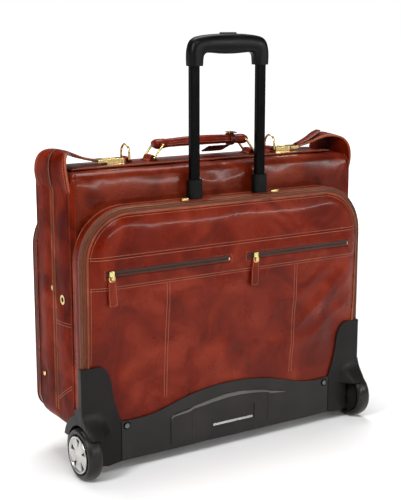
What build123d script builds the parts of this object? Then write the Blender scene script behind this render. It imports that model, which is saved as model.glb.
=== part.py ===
from build123d import *

import os

# Wheeled leather suit carrier with a telescopic trolley handle.
# Millimetres, +Z up, origin on the floor under the middle of the case.
# -Y is the trolley side (wheels, kick plate, front pocket), +Y the rear half that opens like a lid.

# --- driving dimensions: the case ---
HALF_WIDTH = 280.0            # half width of both halves and both pockets
CASE_BOTTOM = 59.0
CASE_TOP = 491.0
SPLIT_Y = 11.0                # plane where the two halves meet
SPLIT_GAP = 0.6
FRONT_Y = -58.5               # outer face of the front half
REAR_Y = 80.5                 # outer face of the rear half
LEATHER = 4.0                 # case wall: leather over board
TOP_CORNER_RADIUS = 16.0
BOTTOM_CORNER_RADIUS = 30.0
EDGE_RADIUS = 9.0

# --- driving dimensions: the pockets ---
POCKET_TOP = 438.0
POCKET_RADIUS = 85.0
POCKET_WALL = 2.5
ZIP_Y = -82.1                 # zip plane of the front pocket
FLAP_GAP = 0.5
FLAP_HINGE_Z = 190.0
PANEL_LOW_Y = -84.6           # front panel where it is held between the wheel guards
PANEL_BULGE_Y = -96.5         # front panel at its fullest
PANEL_TOP_Y = -87.0
FLAT_LOW, FLAT_HIGH = 300.0, 372.0
BAND_LOW, BAND_HIGH = 313.5, 361.0
BAND_THICKNESS = 1.5
POCKET_ZIP_Z = 336.0
REAR_BULGE_Y = 121.3
REAR_POCKET_LOW = 67.0

# --- driving dimensions: wheels, guards and kick plate ---
WHEEL_RADIUS = 42.5
AXLE_Y = -79.0
AXLE_RADIUS = 4.0
AXLE_CLEARANCE = 0.06
TYRE_INNER_X, TYRE_OUTER_X = 263.0, 289.0
HUB_RADIUS = 31.0
HUB_FACE_X = 291.5
WELL_RADIUS = 50.0            # hole in the leather round the wheel
ARCH_RADIUS = 47.0            # inside of the plastic wheel arch
ARCH_WALL = 2.5
ARCH_OUTER_RADIUS = 62.0      # skirt round the arch on the side of the case
CHEEK_X, CHEEK_THICKNESS = 256.0, 3.0
PLATE_FRONT_Y = -88.0
GUARD_TOP = 185.0
GUARD_OUTER_X = 284.0
JOINT_X = 214.5               # joint between kick plate and wheel guard
PLATE_BOTTOM = 19.0

# --- driving dimensions: trolley handle ---
TUBE_X = 65.0
TUBE_Y = -73.0
INNER_TUBE = (17.0, 11.0)
TUBE_WALL = 0.9
TUBE_CLEARANCE = 0.35
COLLAR_LOW, COLLAR_TOP = 425.0, 470.0
OUTER_TUBE_LOW = 64.0
MIDDLE_TUBE_LOW, MIDDLE_TUBE_TOP = 180.0, 469.4
INNER_TUBE_LOW = 430.0
GRIP_LOW, GRIP_TOP = 653.0, 704.0
GRIP_HALF_WIDTH = 77.0
GRIP_DEPTH = 27.0
GRIP_OPENING_TOP = 673.0
GRIP_OPENING_HALF = 51.0
BUTTON_TRAVEL = 3.5
PIN_RADIUS = 2.0

# --- driving dimensions: top fittings ---
TOP_STRIP_TOP = 496.0
FITTING_Y = SPLIT_Y           # handle, straps and rings stand over the split
RING_WIRE = 1.9
RING_BORE = 1.97
LOOSE_BORE = 3.1              # right end of the carry handle: pivot left open
CHAPE_X, CHAPE_Z = 101.0, 500.5
HANDLE_END_X, HANDLE_Z = 84.0, 521.5
HANDLE_RADIUS = 7.8
RING_LEG_Y = 17.0
D_RING_X, D_RING_Z = 147.0, 500.6
D_RING_RADIUS = 14.2
D_RING_LEG = 10.0
BUCKLE_X0, BUCKLE_X1 = 154.0, 186.0
CLIP_X1 = 203.0
STRAP_HINGE_X = 262.0
EAR_LOW, EAR_TOP = 440.0, 523.0
EAR_THICKNESS = 3.5

os.makedirs("parts", exist_ok=True)


def save(name, shape):
    export_step(shape, f"parts/{name}.step")


def block(x0, x1, y0, y1, z0, z1):
    return Pos((x0 + x1) / 2, (y0 + y1) / 2, (z0 + z1) / 2) * Box(x1 - x0, y1 - y0, z1 - z0)


def slab(face, y0, y1):
    """Extrude a face drawn in x, z from y0 to y1."""
    return Pos(0, y1, 0) * extrude(Plane.XZ * face, y1 - y0)


def side_slab(face, x0, x1):
    """Extrude a face drawn in y, z from x0 to x1."""
    return Pos(x0, 0, 0) * extrude(Plane.YZ * face, x1 - x0)


def plan_slab(face, z0, z1):
    """Extrude a face drawn in x, y from z0 to z1."""
    return Pos(0, 0, z0) * extrude(face, z1 - z0)


def rod(start, end, radius):
    """A round bar between two points."""
    line = Vector(*end) - Vector(*start)
    plane = Plane(origin=start, z_dir=line)
    return extrude(plane * Circle(radius), line.length)


def other_side(shape):
    return mirror(shape, about=Plane.YZ)


def group(shapes):
    """Separate solids kept together in one node."""
    return Compound(children=[solid for shape in shapes for solid in shape.solids()])


def both_sides(shape):
    return group([shape, other_side(shape)])


def polygon(points):
    return make_face(Polyline(*points, close=True))


def outline(half_width, low, high, top_radius, bottom_radius):
    """Front view of a case half or a pocket, with its rounded corners."""
    face = Pos(0, (low + high) / 2) * Rectangle(2 * half_width, high - low)
    face = fillet(face.vertices().group_by(Axis.Y)[-1], top_radius)
    return fillet(face.vertices().group_by(Axis.Y)[0], bottom_radius)


def wheel_well(radius):
    """The space round a wheel, left and right."""
    left = rod((-300, AXLE_Y, WHEEL_RADIUS), (-CHEEK_X, AXLE_Y, WHEEL_RADIUS), radius)
    return left + other_side(left)


# --- the two halves of the case ---

def tub(face_y, mouth_y):
    """One half of the case: a tub with its floor at face_y, open at mouth_y."""
    inward = 1 if mouth_y > face_y else -1
    outer_face = outline(HALF_WIDTH, CASE_BOTTOM, CASE_TOP, TOP_CORNER_RADIUS, BOTTOM_CORNER_RADIUS)
    outer = slab(outer_face, min(face_y, mouth_y), max(face_y, mouth_y))
    floor = outer.faces().sort_by(Axis.Y)[0 if inward > 0 else -1]
    outer = fillet(floor.edges(), EDGE_RADIUS)
    inner_face = outline(HALF_WIDTH - LEATHER, CASE_BOTTOM + LEATHER, CASE_TOP - LEATHER,
                         TOP_CORNER_RADIUS - LEATHER, BOTTOM_CORNER_RADIUS - LEATHER)
    inner_y = face_y + inward * LEATHER
    past_mouth = mouth_y + inward
    inner = slab(inner_face, min(inner_y, past_mouth), max(inner_y, past_mouth))
    floor = inner.faces().sort_by(Axis.Y)[0 if inward > 0 else -1]
    inner = fillet(floor.edges(), EDGE_RADIUS - LEATHER)
    return outer - inner


GROMMET_Y, GROMMET_Z = -19.0, 285.0
GROMMET_BORE, GROMMET_BARREL, GROMMET_FLANGE = 4.2, 5.0, 8.0
GROMMET_FLANGE_THICKNESS = 1.2
STUD_Y, STUD_Z = 59.0, 140.0
EYELET_Y, EYELET_Z = 19.0, 297.0

case_front = tub(FRONT_Y, SPLIT_Y)
grommet_hole = rod((-300, GROMMET_Y, GROMMET_Z), (300, GROMMET_Y, GROMMET_Z), GROMMET_BARREL)
save("front_shell", case_front - wheel_well(WELL_RADIUS) - grommet_hole)

rear_mouth = SPLIT_Y + SPLIT_GAP
save("rear_shell", tub(REAR_Y, rear_mouth))

BOARD_THICKNESS = 3.0
board_face = outline(HALF_WIDTH - 18, 100, CASE_TOP - 22, 10, 10)
board_y = FRONT_Y + LEATHER
save("trolley_board", slab(board_face, board_y, board_y + BOARD_THICKNESS))


def grommet():
    """A brass grommet through the left wall of the front half, open for a lock or a hook."""
    wall_out, wall_in = -HALF_WIDTH, -HALF_WIDTH + LEATHER
    centre = (GROMMET_Y, GROMMET_Z)
    flange = GROMMET_FLANGE_THICKNESS
    shape = rod((wall_out, *centre), (wall_in, *centre), GROMMET_BARREL)
    shape += rod((wall_out - flange, *centre), (wall_out, *centre), GROMMET_FLANGE)
    shape += rod((wall_in, *centre), (wall_in + flange, *centre), GROMMET_FLANGE)
    return shape - rod((wall_out - 5, *centre), (wall_in + 5, *centre), GROMMET_BORE)


save("side_grommets", both_sides(grommet()))


def side_button(y, z, radius, height):
    """A domed brass stud on the left side of the rear half."""
    stud = rod((-HALF_WIDTH - height, y, z), (-HALF_WIDTH, y, z), radius)
    return fillet(stud.edges().group_by(Axis.X)[0], height * 0.6)


studs = side_button(STUD_Y, STUD_Z, 4.0, 2.5) + side_button(EYELET_Y, EYELET_Z, 4.5, 1.2)
save("side_studs", both_sides(studs))

RAIL_Z, RAIL_Y, RAIL_RADIUS = 462.0, -22.0, 5.0
rail_end = HALF_WIDTH - LEATHER
save("garment_rail", rod((-rail_end, RAIL_Y, RAIL_Z), (rail_end, RAIL_Y, RAIL_Z), RAIL_RADIUS))

STRIP_THICKNESS = 1.6
strip_low = CASE_BOTTOM - STRIP_THICKNESS
save("hinge_strip", block(-240, 240, -30, SPLIT_Y - 0.2, strip_low, CASE_BOTTOM))


# --- front pocket: fixed gusset and lower panel, opening flap, pockets in the flap ---

def pocket_outline(inset):
    return outline(HALF_WIDTH - inset, CASE_BOTTOM + inset, POCKET_TOP - inset,
                   POCKET_RADIUS - inset, BOTTOM_CORNER_RADIUS - inset)


def tube_section(inner_size, grow):
    """Rounded tube section, grown on every side."""
    width, depth = inner_size
    return RectangleRounded(width + 2 * grow, depth + 2 * grow, 2.5 + grow)


middle_grow = TUBE_CLEARANCE + TUBE_WALL
outer_grow = 2 * middle_grow
COLLAR_GROW = outer_grow + 1.5
TUBE_CENTRE = Pos(-TUBE_X, TUBE_Y)

collar_section = TUBE_CENTRE * tube_section(INNER_TUBE, COLLAR_GROW)
collar_solid = plan_slab(collar_section, COLLAR_LOW, COLLAR_TOP)
collar_hole = collar_solid + other_side(collar_solid)

gusset = slab(pocket_outline(0), ZIP_Y, FRONT_Y)
gusset -= slab(pocket_outline(POCKET_WALL), ZIP_Y - 1, FRONT_Y + 1)
save("front_pocket_gusset", gusset - collar_hole - wheel_well(WELL_RADIUS))

lower_panel = slab(pocket_outline(0), PANEL_LOW_Y, ZIP_Y)
lower_panel &= block(-300, 300, -120, 0, 0, FLAP_HINGE_Z)
save("front_pocket_base", lower_panel - wheel_well(WELL_RADIUS))


def flap_profile(inset):
    """Side view of the flap: a soft bulge with a flat stretch behind the pocket band."""
    back_y = ZIP_Y - FLAP_GAP + (20 if inset else 0)
    low = FLAP_HINGE_Z + FLAP_GAP + inset
    high = POCKET_TOP - inset
    low_y, full_y, top_y = PANEL_LOW_Y + inset, PANEL_BULGE_Y + inset, PANEL_TOP_Y + inset
    lower = Spline((low_y, low), (-91.5 + inset, 240), (full_y, FLAT_LOW), tangents=[(-0.2, 1), (0, 1)])
    flat = Line((full_y, FLAT_LOW), (full_y, FLAT_HIGH))
    upper = Spline((full_y, FLAT_HIGH), (-94.0 + inset, 410), (top_y, high), tangents=[(0, 1), (0.5, 1)])
    back = Polyline((top_y, high), (back_y, high), (back_y, low), (low_y, low))
    return make_face([lower, flat, upper, back])


def flap_solid(inset):
    solid = side_slab(flap_profile(inset), -300, 300)
    solid &= slab(pocket_outline(inset), -120, 20)
    return solid


save("front_flap", flap_solid(0) - flap_solid(POCKET_WALL))

BAND_HALF = HALF_WIDTH - 12
band_front = PANEL_BULGE_Y - BAND_THICKNESS
save("welt_band", block(-BAND_HALF, BAND_HALF, band_front, PANEL_BULGE_Y, BAND_LOW, BAND_HIGH))

ZIP_THICKNESS, ZIP_HALF_HEIGHT = 0.8, 5.0
LEFT_ZIP = (-242.0, -10.0)
RIGHT_ZIP = (25.0, 244.0)
zip_front = band_front - ZIP_THICKNESS
zip_low, zip_high = POCKET_ZIP_Z - ZIP_HALF_HEIGHT, POCKET_ZIP_Z + ZIP_HALF_HEIGHT
pocket_zips = [block(x0, x1, zip_front, band_front, zip_low, zip_high) for x0, x1 in (LEFT_ZIP, RIGHT_ZIP)]
save("pocket_zips", group(pocket_zips))

SLIDER_GAP = 0.3
SLIDER_DEPTH = 4.5
PULL_WIDTH, PULL_LENGTH, PULL_THICKNESS = 16.0, 48.0, 2.4
PULL_SWING_GAP = 1.6          # room for a pull to swing up under its slider


def pocket_slider(x):
    """A brass zip slider with a round eye that the leather pull hangs from."""
    back = zip_front - SLIDER_GAP
    body = block(x - 4.5, x + 4.5, back - SLIDER_DEPTH, back, POCKET_ZIP_Z - 3, POCKET_ZIP_Z + 6)
    return fillet(body.edges().group_by(Axis.Y)[0], 1.2)


def pocket_pull(x):
    """A leather pull that hangs from its slider."""
    back = zip_front - SLIDER_GAP - 1.0
    top = POCKET_ZIP_Z - 3 - PULL_SWING_GAP
    strap = block(x - PULL_WIDTH / 2, x + PULL_WIDTH / 2, back - PULL_THICKNESS, back, top - PULL_LENGTH, top)
    return fillet(strap.edges().filter_by(Axis.Y), 3)


for side, x in (("left", -234.0), ("right", 40.0)):
    save(f"pocket_slider_{side}", pocket_slider(x))
    save(f"pocket_pull_{side}", pocket_pull(x))

MAIN_SLIDER_X0, MAIN_SLIDER_X1 = 84.0, 96.0
MAIN_PULL_END = 158.0


def main_slider():
    """Left slider of the front pocket's long zip, on the straight run over the pocket."""
    low = POCKET_TOP + SLIDER_GAP
    body = block(-MAIN_SLIDER_X1, -MAIN_SLIDER_X0, ZIP_Y - 4, ZIP_Y + 4, low, low + 4.5)
    return fillet(body.edges().group_by(Axis.Z)[-1], 1.2)


def main_pull():
    """Leather pull of the left slider, lying along the zip."""
    low = POCKET_TOP + 1.0
    near_x = -MAIN_SLIDER_X1 - PULL_SWING_GAP
    strap = block(-MAIN_PULL_END, near_x, ZIP_Y - 6, ZIP_Y + 6, low, low + PULL_THICKNESS)
    return fillet(strap.edges().filter_by(Axis.Z), 3)


for side, place in (("left", lambda shape: shape), ("right", other_side)):
    save(f"main_slider_{side}", place(main_slider()))
    save(f"main_pull_{side}", place(main_pull()))


# --- rear pocket, on the lid ---

def rear_pocket_solid(inset):
    low_y = REAR_Y if inset == 0 else REAR_Y - 1
    fullest = REAR_BULGE_Y - inset
    low, high = REAR_POCKET_LOW + inset, POCKET_TOP - inset
    edge = Polyline((low_y, high), (low_y, low), (98 - inset, low))
    bulge = Spline((98 - inset, low), (114 - inset, 150), (fullest, 270), (115 - inset, 390),
                   (104 - inset, high))
    close = Line((104 - inset, high), (low_y, high))
    solid = side_slab(make_face([edge, bulge, close]), -300, 300)
    return solid & slab(pocket_outline(inset), 0, 140)


save("rear_pocket", rear_pocket_solid(0) - rear_pocket_solid(POCKET_WALL))


# --- feet under the rear half ---

FOOT_X, FOOT_Y = 170.0, 66.0
foot = plan_slab(Pos(-FOOT_X, FOOT_Y) * RectangleRounded(46, 22, 5), 0, CASE_BOTTOM)
foot -= plan_slab(Pos(-FOOT_X, FOOT_Y) * RectangleRounded(36, 12, 3), 6, CASE_BOTTOM - 5)
save("rear_feet", both_sides(foot))


# --- kick plate ---

PLATE_BACK_Y = PANEL_LOW_Y
plate_top = Spline((-JOINT_X, 87), (-180, 86), (-146, 90.5), (-104, 102), (-53, 112.5), (0, 116),
                   (53, 112.5), (104, 102), (146, 90.5), (180, 86), (JOINT_X, 87))
plate_rest = Polyline((JOINT_X, 87), (JOINT_X, PLATE_BOTTOM), (-JOINT_X, PLATE_BOTTOM), (-JOINT_X, 87))
plate = slab(make_face([plate_top, plate_rest]), PLATE_FRONT_Y, PLATE_BACK_Y)
plate += block(-JOINT_X, JOINT_X, PLATE_BACK_Y, -62, PLATE_BOTTOM, PLATE_BOTTOM + 3)

# raised arched field with a recess for a plain metal bar
FIELD_DEPTH = 1.6
field_top = Spline((-112, 80), (-80, 84), (-40, 91), (0, 94.5), (40, 91), (80, 84), (112, 80))
field_rest = Polyline((112, 80), (121, 72), (121, 27), (-121, 27), (-121, 72), (-112, 80))
field = slab(make_face([field_top, field_rest]), PLATE_FRONT_Y - FIELD_DEPTH, PLATE_FRONT_Y)
recess = slab(Pos(4, 56) * RectangleRounded(90, 28, 4), PLATE_FRONT_Y - 5, PLATE_FRONT_Y)
plate += field - recess
SCREW_X, SCREW_Z, SCREW_RADIUS = 204.0, 78.0, 2.0
screw_axis = rod((-SCREW_X, -95, SCREW_Z), (-SCREW_X, -80, SCREW_Z), SCREW_RADIUS)
plate -= screw_axis + other_side(screw_axis)
save("kick_plate", plate)

screw = rod((-SCREW_X, PLATE_FRONT_Y, SCREW_Z), (-SCREW_X, PLATE_BACK_Y, SCREW_Z), SCREW_RADIUS)
screw += rod((-SCREW_X, PLATE_FRONT_Y - 1.8, SCREW_Z), (-SCREW_X, PLATE_FRONT_Y, SCREW_Z), 4.2)
save("plate_screws", both_sides(screw))

BAR_HALF, BAR_Z = 41.0, 45.5
bar = block(4 - BAR_HALF, 4 + BAR_HALF, PLATE_FRONT_Y - 1.4, PLATE_FRONT_Y, BAR_Z - 2, BAR_Z + 2)
save("plate_bar", bar)


# --- wheel guards ---

def guard():
    """Left guard: front plate, side skirt, wheel arch, cheek that holds the axle, and a floor."""
    axle_z = WHEEL_RADIUS
    curve = Spline((-JOINT_X, 87), (-222, 110), (-229, 138), (-235, 169), (-244, 182), (-262, GUARD_TOP))
    rest = Polyline((-262, GUARD_TOP), (-GUARD_OUTER_X, GUARD_TOP), (-GUARD_OUTER_X, 67), (-CHEEK_X, 67),
                    (-CHEEK_X, PLATE_BOTTOM), (-239, 15.5), (-JOINT_X, PLATE_BOTTOM), (-JOINT_X, 87))
    shape = slab(make_face([curve, rest]), PLATE_FRONT_Y, PANEL_LOW_Y)
    skirt = polygon([(PLATE_FRONT_Y, 60), (PLATE_FRONT_Y, GUARD_TOP), (-78, GUARD_TOP), (-75, 118),
                     (-60, 112), (-60, 60)])
    skirt_solid = side_slab(skirt, -GUARD_OUTER_X, -HALF_WIDTH)
    skirt_disc = rod((-GUARD_OUTER_X, AXLE_Y, axle_z), (-HALF_WIDTH, AXLE_Y, axle_z), ARCH_OUTER_RADIUS)
    skirt_disc &= block(-300, 0, PLATE_FRONT_Y, 20, 60, 200)
    shape += skirt_solid + skirt_disc
    arch = rod((-GUARD_OUTER_X, AXLE_Y, axle_z), (-CHEEK_X, AXLE_Y, axle_z), ARCH_RADIUS + ARCH_WALL)
    arch &= block(-300, 0, PANEL_LOW_Y, 0, 40, 200)
    shape += arch
    shape += block(-CHEEK_X, -CHEEK_X + CHEEK_THICKNESS, PLATE_FRONT_Y, -44, PLATE_BOTTOM, CASE_BOTTOM)
    wheel_space = rod((-320, AXLE_Y, axle_z), (-CHEEK_X, AXLE_Y, axle_z), ARCH_RADIUS)
    shape -= wheel_space
    shape += block(-CHEEK_X, -JOINT_X, PLATE_FRONT_Y, -46, PLATE_BOTTOM, PLATE_BOTTOM + 3)
    shape += rod((-CHEEK_X, AXLE_Y, axle_z), (-CHEEK_X + 14, AXLE_Y, axle_z), 9)
    corner = shape.edges().filter_by(Axis.Z).sort_by(Axis.X)[:4].sort_by(Axis.Y)[0]
    shape = fillet(corner, 3.5)
    return shape - rod((-320, AXLE_Y, axle_z), (-200, AXLE_Y, axle_z), AXLE_RADIUS)


left_guard = guard()
left_guard -= slab(pocket_outline(0), PANEL_LOW_Y, FRONT_Y) - wheel_well(WELL_RADIUS)
left_guard -= case_front - wheel_well(WELL_RADIUS)
save("wheel_guard_left", left_guard)
save("wheel_guard_right", other_side(left_guard))

axle = rod((-HUB_FACE_X + 2.0, AXLE_Y, WHEEL_RADIUS), (-CHEEK_X + 14, AXLE_Y, WHEEL_RADIUS), AXLE_RADIUS)
save("wheel_axles", both_sides(axle))


# --- wheels ---

def wheel_rod(x0, x1, radius):
    return rod((-x0, AXLE_Y, WHEEL_RADIUS), (-x1, AXLE_Y, WHEEL_RADIUS), radius)


def tyre():
    ring = wheel_rod(TYRE_INNER_X, TYRE_OUTER_X, WHEEL_RADIUS)
    ring = fillet(ring.edges(), 7)
    return ring - wheel_rod(TYRE_INNER_X - 1, TYRE_OUTER_X + 1, HUB_RADIUS)


def hub():
    """Five-spoke hub with a capped outer end and a bore for the axle."""
    rim = wheel_rod(TYRE_INNER_X, HUB_FACE_X - 1.5, HUB_RADIUS)
    rim -= wheel_rod(TYRE_INNER_X - 1, HUB_FACE_X, HUB_RADIUS - 4)
    core = wheel_rod(TYRE_INNER_X, HUB_FACE_X - 0.5, 10)
    web = wheel_rod(TYRE_INNER_X + 6, TYRE_INNER_X + 10, HUB_RADIUS - 3)
    shape = rim + core + web
    spoke = block(-HUB_FACE_X + 1, -TYRE_OUTER_X + 6, -4.5, 4.5, 0, HUB_RADIUS - 3)
    for count in range(5):
        shape += Pos(0, AXLE_Y, WHEEL_RADIUS) * Rot(count * 72, 0, 0) * spoke
    cap = wheel_rod(HUB_FACE_X - 1, HUB_FACE_X, 8)
    bore = wheel_rod(TYRE_INNER_X - 1, HUB_FACE_X - 1.7, AXLE_RADIUS + AXLE_CLEARANCE)
    return shape + cap - bore


for side, place in (("left", lambda shape: shape), ("right", other_side)):
    save(f"tyre_{side}", place(tyre()))
    save(f"hub_{side}", place(hub()))


# --- telescopic trolley handle ---

def tube(grow, low, high):
    """One left tube of the telescopic handle."""
    outside = plan_slab(TUBE_CENTRE * tube_section(INNER_TUBE, grow), low, high)
    inside = plan_slab(TUBE_CENTRE * tube_section(INNER_TUBE, grow - TUBE_WALL), low - 1, high + 1)
    return outside - inside


save("outer_tubes", both_sides(tube(outer_grow, OUTER_TUBE_LOW, COLLAR_TOP - 1)))
save("middle_tubes", both_sides(tube(middle_grow, MIDDLE_TUBE_LOW, MIDDLE_TUBE_TOP)))

outer_section = TUBE_CENTRE * tube_section(INNER_TUBE, outer_grow)
mouth_section = TUBE_CENTRE * tube_section(INNER_TUBE, middle_grow + TUBE_CLEARANCE)
collar = collar_solid - plan_slab(outer_section, COLLAR_LOW - 1, COLLAR_TOP - 1)
collar -= plan_slab(mouth_section, COLLAR_LOW, COLLAR_TOP + 1)
save("tube_collars", both_sides(collar))

foot_block = block(-90, 90, -81.8, FRONT_Y - 0.2, CASE_BOTTOM + POCKET_WALL, OUTER_TUBE_LOW)
save("tube_foot", foot_block)

SOCKET_TOP = 676.0
PIN_Z = 436.0
pin_hole = rod((-TUBE_X - 20, TUBE_Y, PIN_Z), (-TUBE_X, TUBE_Y, PIN_Z), PIN_RADIUS + 0.3)
save("inner_tubes", both_sides(tube(0, INNER_TUBE_LOW, SOCKET_TOP) - pin_hole))

plug = plan_slab(TUBE_CENTRE * tube_section(INNER_TUBE, -TUBE_WALL), INNER_TUBE_LOW, PIN_Z + 6)
pin_bore = rod((-TUBE_X - 20, TUBE_Y, PIN_Z), (-TUBE_X + 5, TUBE_Y, PIN_Z), PIN_RADIUS + AXLE_CLEARANCE)
save("lock_blocks", both_sides(plug - pin_bore))

inner_half = INNER_TUBE[0] / 2
pin = rod((-TUBE_X - inner_half, TUBE_Y, PIN_Z), (-TUBE_X + 1, TUBE_Y, PIN_Z), PIN_RADIUS)
save("lock_pin_left", pin)
save("lock_pin_right", other_side(pin))

# grip: a loop with rounded shoulders, hollow for the button and the push rods
grip_face = outline(GRIP_HALF_WIDTH, GRIP_LOW, GRIP_TOP, 24, 3)
opening = outline(GRIP_OPENING_HALF, GRIP_LOW - 10, GRIP_OPENING_TOP, 10, 1)
half_depth = GRIP_DEPTH / 2
grip = slab(grip_face, TUBE_Y - half_depth, TUBE_Y + half_depth)
outer_edges = grip.faces().sort_by(Axis.Y)[0].edges() + grip.faces().sort_by(Axis.Y)[-1].edges()
grip = fillet(outer_edges, 6)
grip -= slab(opening, TUBE_Y - 30, TUBE_Y + 30)
socket = plan_slab(TUBE_CENTRE * tube_section(INNER_TUBE, 0), GRIP_LOW - 1, SOCKET_TOP)
grip -= socket + other_side(socket)
CHANNEL_LOW, CHANNEL_HIGH = SOCKET_TOP, 690.0
BUTTON_HALF, BUTTON_DEPTH = 15.0, 11.0
BUTTON_TOP = GRIP_TOP + 2.0
grip -= block(-TUBE_X - 6, TUBE_X + 6, TUBE_Y - 4.5, TUBE_Y + 4.5, CHANNEL_LOW, CHANNEL_HIGH)
slot_face = RectangleRounded(2 * BUTTON_HALF + 0.8, BUTTON_DEPTH + 0.8, 4.4)
grip -= plan_slab(Pos(0, TUBE_Y) * slot_face, 685, GRIP_TOP + 1)
save("trolley_grip", grip)

button = plan_slab(Pos(0, TUBE_Y) * RectangleRounded(2 * BUTTON_HALF, BUTTON_DEPTH, 4), 689, BUTTON_TOP)
save("release_button", fillet(button.edges().group_by(Axis.Z)[-1], 1.5))

ROD_RADIUS = 1.8
ROD_LOW = PIN_Z + 6 + BUTTON_TRAVEL + 1
crossbar = block(-TUBE_X - 2, TUBE_X + 2, TUBE_Y - 3, TUBE_Y + 3, 684, 689)
rods = crossbar
for x in (-TUBE_X, TUBE_X):
    rods += rod((x, TUBE_Y, ROD_LOW), (x, TUBE_Y, 686), ROD_RADIUS)
save("push_rods", rods)


# --- top strip and its fittings ---

STRIP_HALF, STRIP_FRONT_Y, STRIP_REAR_Y = 262.0, -22.0, 42.0
LID_CLEARANCE = 0.4
strip = block(-STRIP_HALF, STRIP_HALF, STRIP_FRONT_Y, SPLIT_Y, CASE_TOP, TOP_STRIP_TOP)
strip += block(-STRIP_HALF, STRIP_HALF, SPLIT_Y, STRIP_REAR_Y, CASE_TOP + LID_CLEARANCE, TOP_STRIP_TOP)
save("top_strip", strip)


def cross_rod(x, z, half_length, radius):
    """A round bar along Y over the split."""
    return rod((x, FITTING_Y - half_length, z), (x, FITTING_Y + half_length, z), radius)


chape_radius = CHAPE_Z - TOP_STRIP_TOP
chape = cross_rod(-CHAPE_X, CHAPE_Z, 13, chape_radius)
chape += block(-CHAPE_X - 9, -CHAPE_X + 9, FITTING_Y - 13, FITTING_Y + 13, TOP_STRIP_TOP, TOP_STRIP_TOP + 1.5)
chape -= cross_rod(-CHAPE_X, CHAPE_Z, 15, RING_BORE)
save("handle_chapes", both_sides(chape))


def handle_ring():
    """Left link of the carry handle: a rectangular wire loop that leans in towards the handle."""
    shape = cross_rod(-CHAPE_X, CHAPE_Z, RING_LEG_Y, RING_WIRE)
    shape += cross_rod(-HANDLE_END_X, HANDLE_Z, RING_LEG_Y, RING_WIRE)
    for y in (FITTING_Y - RING_LEG_Y, FITTING_Y + RING_LEG_Y):
        shape += rod((-CHAPE_X, y, CHAPE_Z), (-HANDLE_END_X, y, HANDLE_Z), RING_WIRE)
        for x, z in ((-CHAPE_X, CHAPE_Z), (-HANDLE_END_X, HANDLE_Z)):
            shape += Pos(x, y, z) * Sphere(RING_WIRE)
    return shape


save("handle_ring_left", handle_ring())
save("handle_ring_right", other_side(handle_ring()))

handle = rod((-HANDLE_END_X, FITTING_Y, HANDLE_Z), (HANDLE_END_X, FITTING_Y, HANDLE_Z), HANDLE_RADIUS)
for x in (-HANDLE_END_X, HANDLE_END_X):
    handle += cross_rod(x, HANDLE_Z, 13, 8.6)
handle -= cross_rod(-HANDLE_END_X, HANDLE_Z, 20, RING_BORE)
handle -= cross_rod(HANDLE_END_X, HANDLE_Z, 20, LOOSE_BORE)
save("carry_handle", handle)

# luggage tag: a loop round the handle and a flat tag that lies back on the case
TAG_X0, TAG_X1 = 22.0, 68.0
TAG_LOOP_X0, TAG_LOOP_X1 = 56.0, 66.0
TAG_LENGTH, TAG_THICKNESS = 43.0, 2.4
TAG_LEAN = 23.5
handle_line = (FITTING_Y, HANDLE_Z)
tag_loop = rod((TAG_LOOP_X0, *handle_line), (TAG_LOOP_X1, *handle_line), HANDLE_RADIUS + 2.4)
tag_loop -= rod((TAG_LOOP_X0 - 5, *handle_line), (TAG_LOOP_X1 + 5, *handle_line), HANDLE_RADIUS + 0.5)
tag_plane = Pos(0, FITTING_Y, HANDLE_Z) * Rot(-TAG_LEAN, 0, 0)
tag_low = -TAG_THICKNESS - 5.0
tag_body = tag_plane * block(TAG_X0, TAG_X1, 12, TAG_LENGTH, tag_low, tag_low + TAG_THICKNESS)
tag_neck = tag_plane * block(TAG_LOOP_X0, TAG_LOOP_X1, 8.6, 12, tag_low, tag_low + TAG_THICKNESS + 2)
save("luggage_tag", tag_loop + tag_body + tag_neck)

tab_radius = D_RING_Z - TOP_STRIP_TOP
tab = cross_rod(-D_RING_X, D_RING_Z, 10.5, tab_radius)
tab_x0, tab_x1 = -D_RING_X - 6.5, -D_RING_X + 9
tab += block(tab_x0, tab_x1, FITTING_Y - 10.5, FITTING_Y + 10.5, TOP_STRIP_TOP, TOP_STRIP_TOP + 1.5)
tab -= cross_rod(-D_RING_X, D_RING_Z, 15, RING_BORE)
save("d_ring_tabs", both_sides(tab))


def d_ring():
    """Left ring: a straight bar in its tab, two short legs and a half-round bow."""
    shape = cross_rod(-D_RING_X, D_RING_Z, D_RING_RADIUS, RING_WIRE)
    bow_z = D_RING_Z + D_RING_LEG
    for y in (FITTING_Y - D_RING_RADIUS, FITTING_Y + D_RING_RADIUS):
        shape += rod((-D_RING_X, y, D_RING_Z), (-D_RING_X, y, bow_z), RING_WIRE)
        shape += Pos(-D_RING_X, y, D_RING_Z) * Sphere(RING_WIRE)
    bow = Pos(-D_RING_X, FITTING_Y, bow_z) * Rot(0, 90, 0) * Torus(D_RING_RADIUS, RING_WIRE)
    return shape + (bow & block(-200, 0, -50, 80, bow_z, bow_z + 60))


save("d_ring_left", d_ring())
save("d_ring_right", other_side(d_ring()))


# --- corner ears, their straps, clips and buckles ---

def strap_buckle():
    """Left brass buckle: an open channel that the clip's tongue drops into."""
    shape = block(-BUCKLE_X1, -BUCKLE_X0, FITTING_Y - 10, FITTING_Y + 10, TOP_STRIP_TOP, 503.5)
    shape = fillet(shape.edges().group_by(Axis.Z)[-1], 1.0)
    channel = block(-BUCKLE_X1 - 1, -BUCKLE_X0 - 5, FITTING_Y - 6.5, FITTING_Y + 6.5, 498, 510)
    return shape - channel


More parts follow.
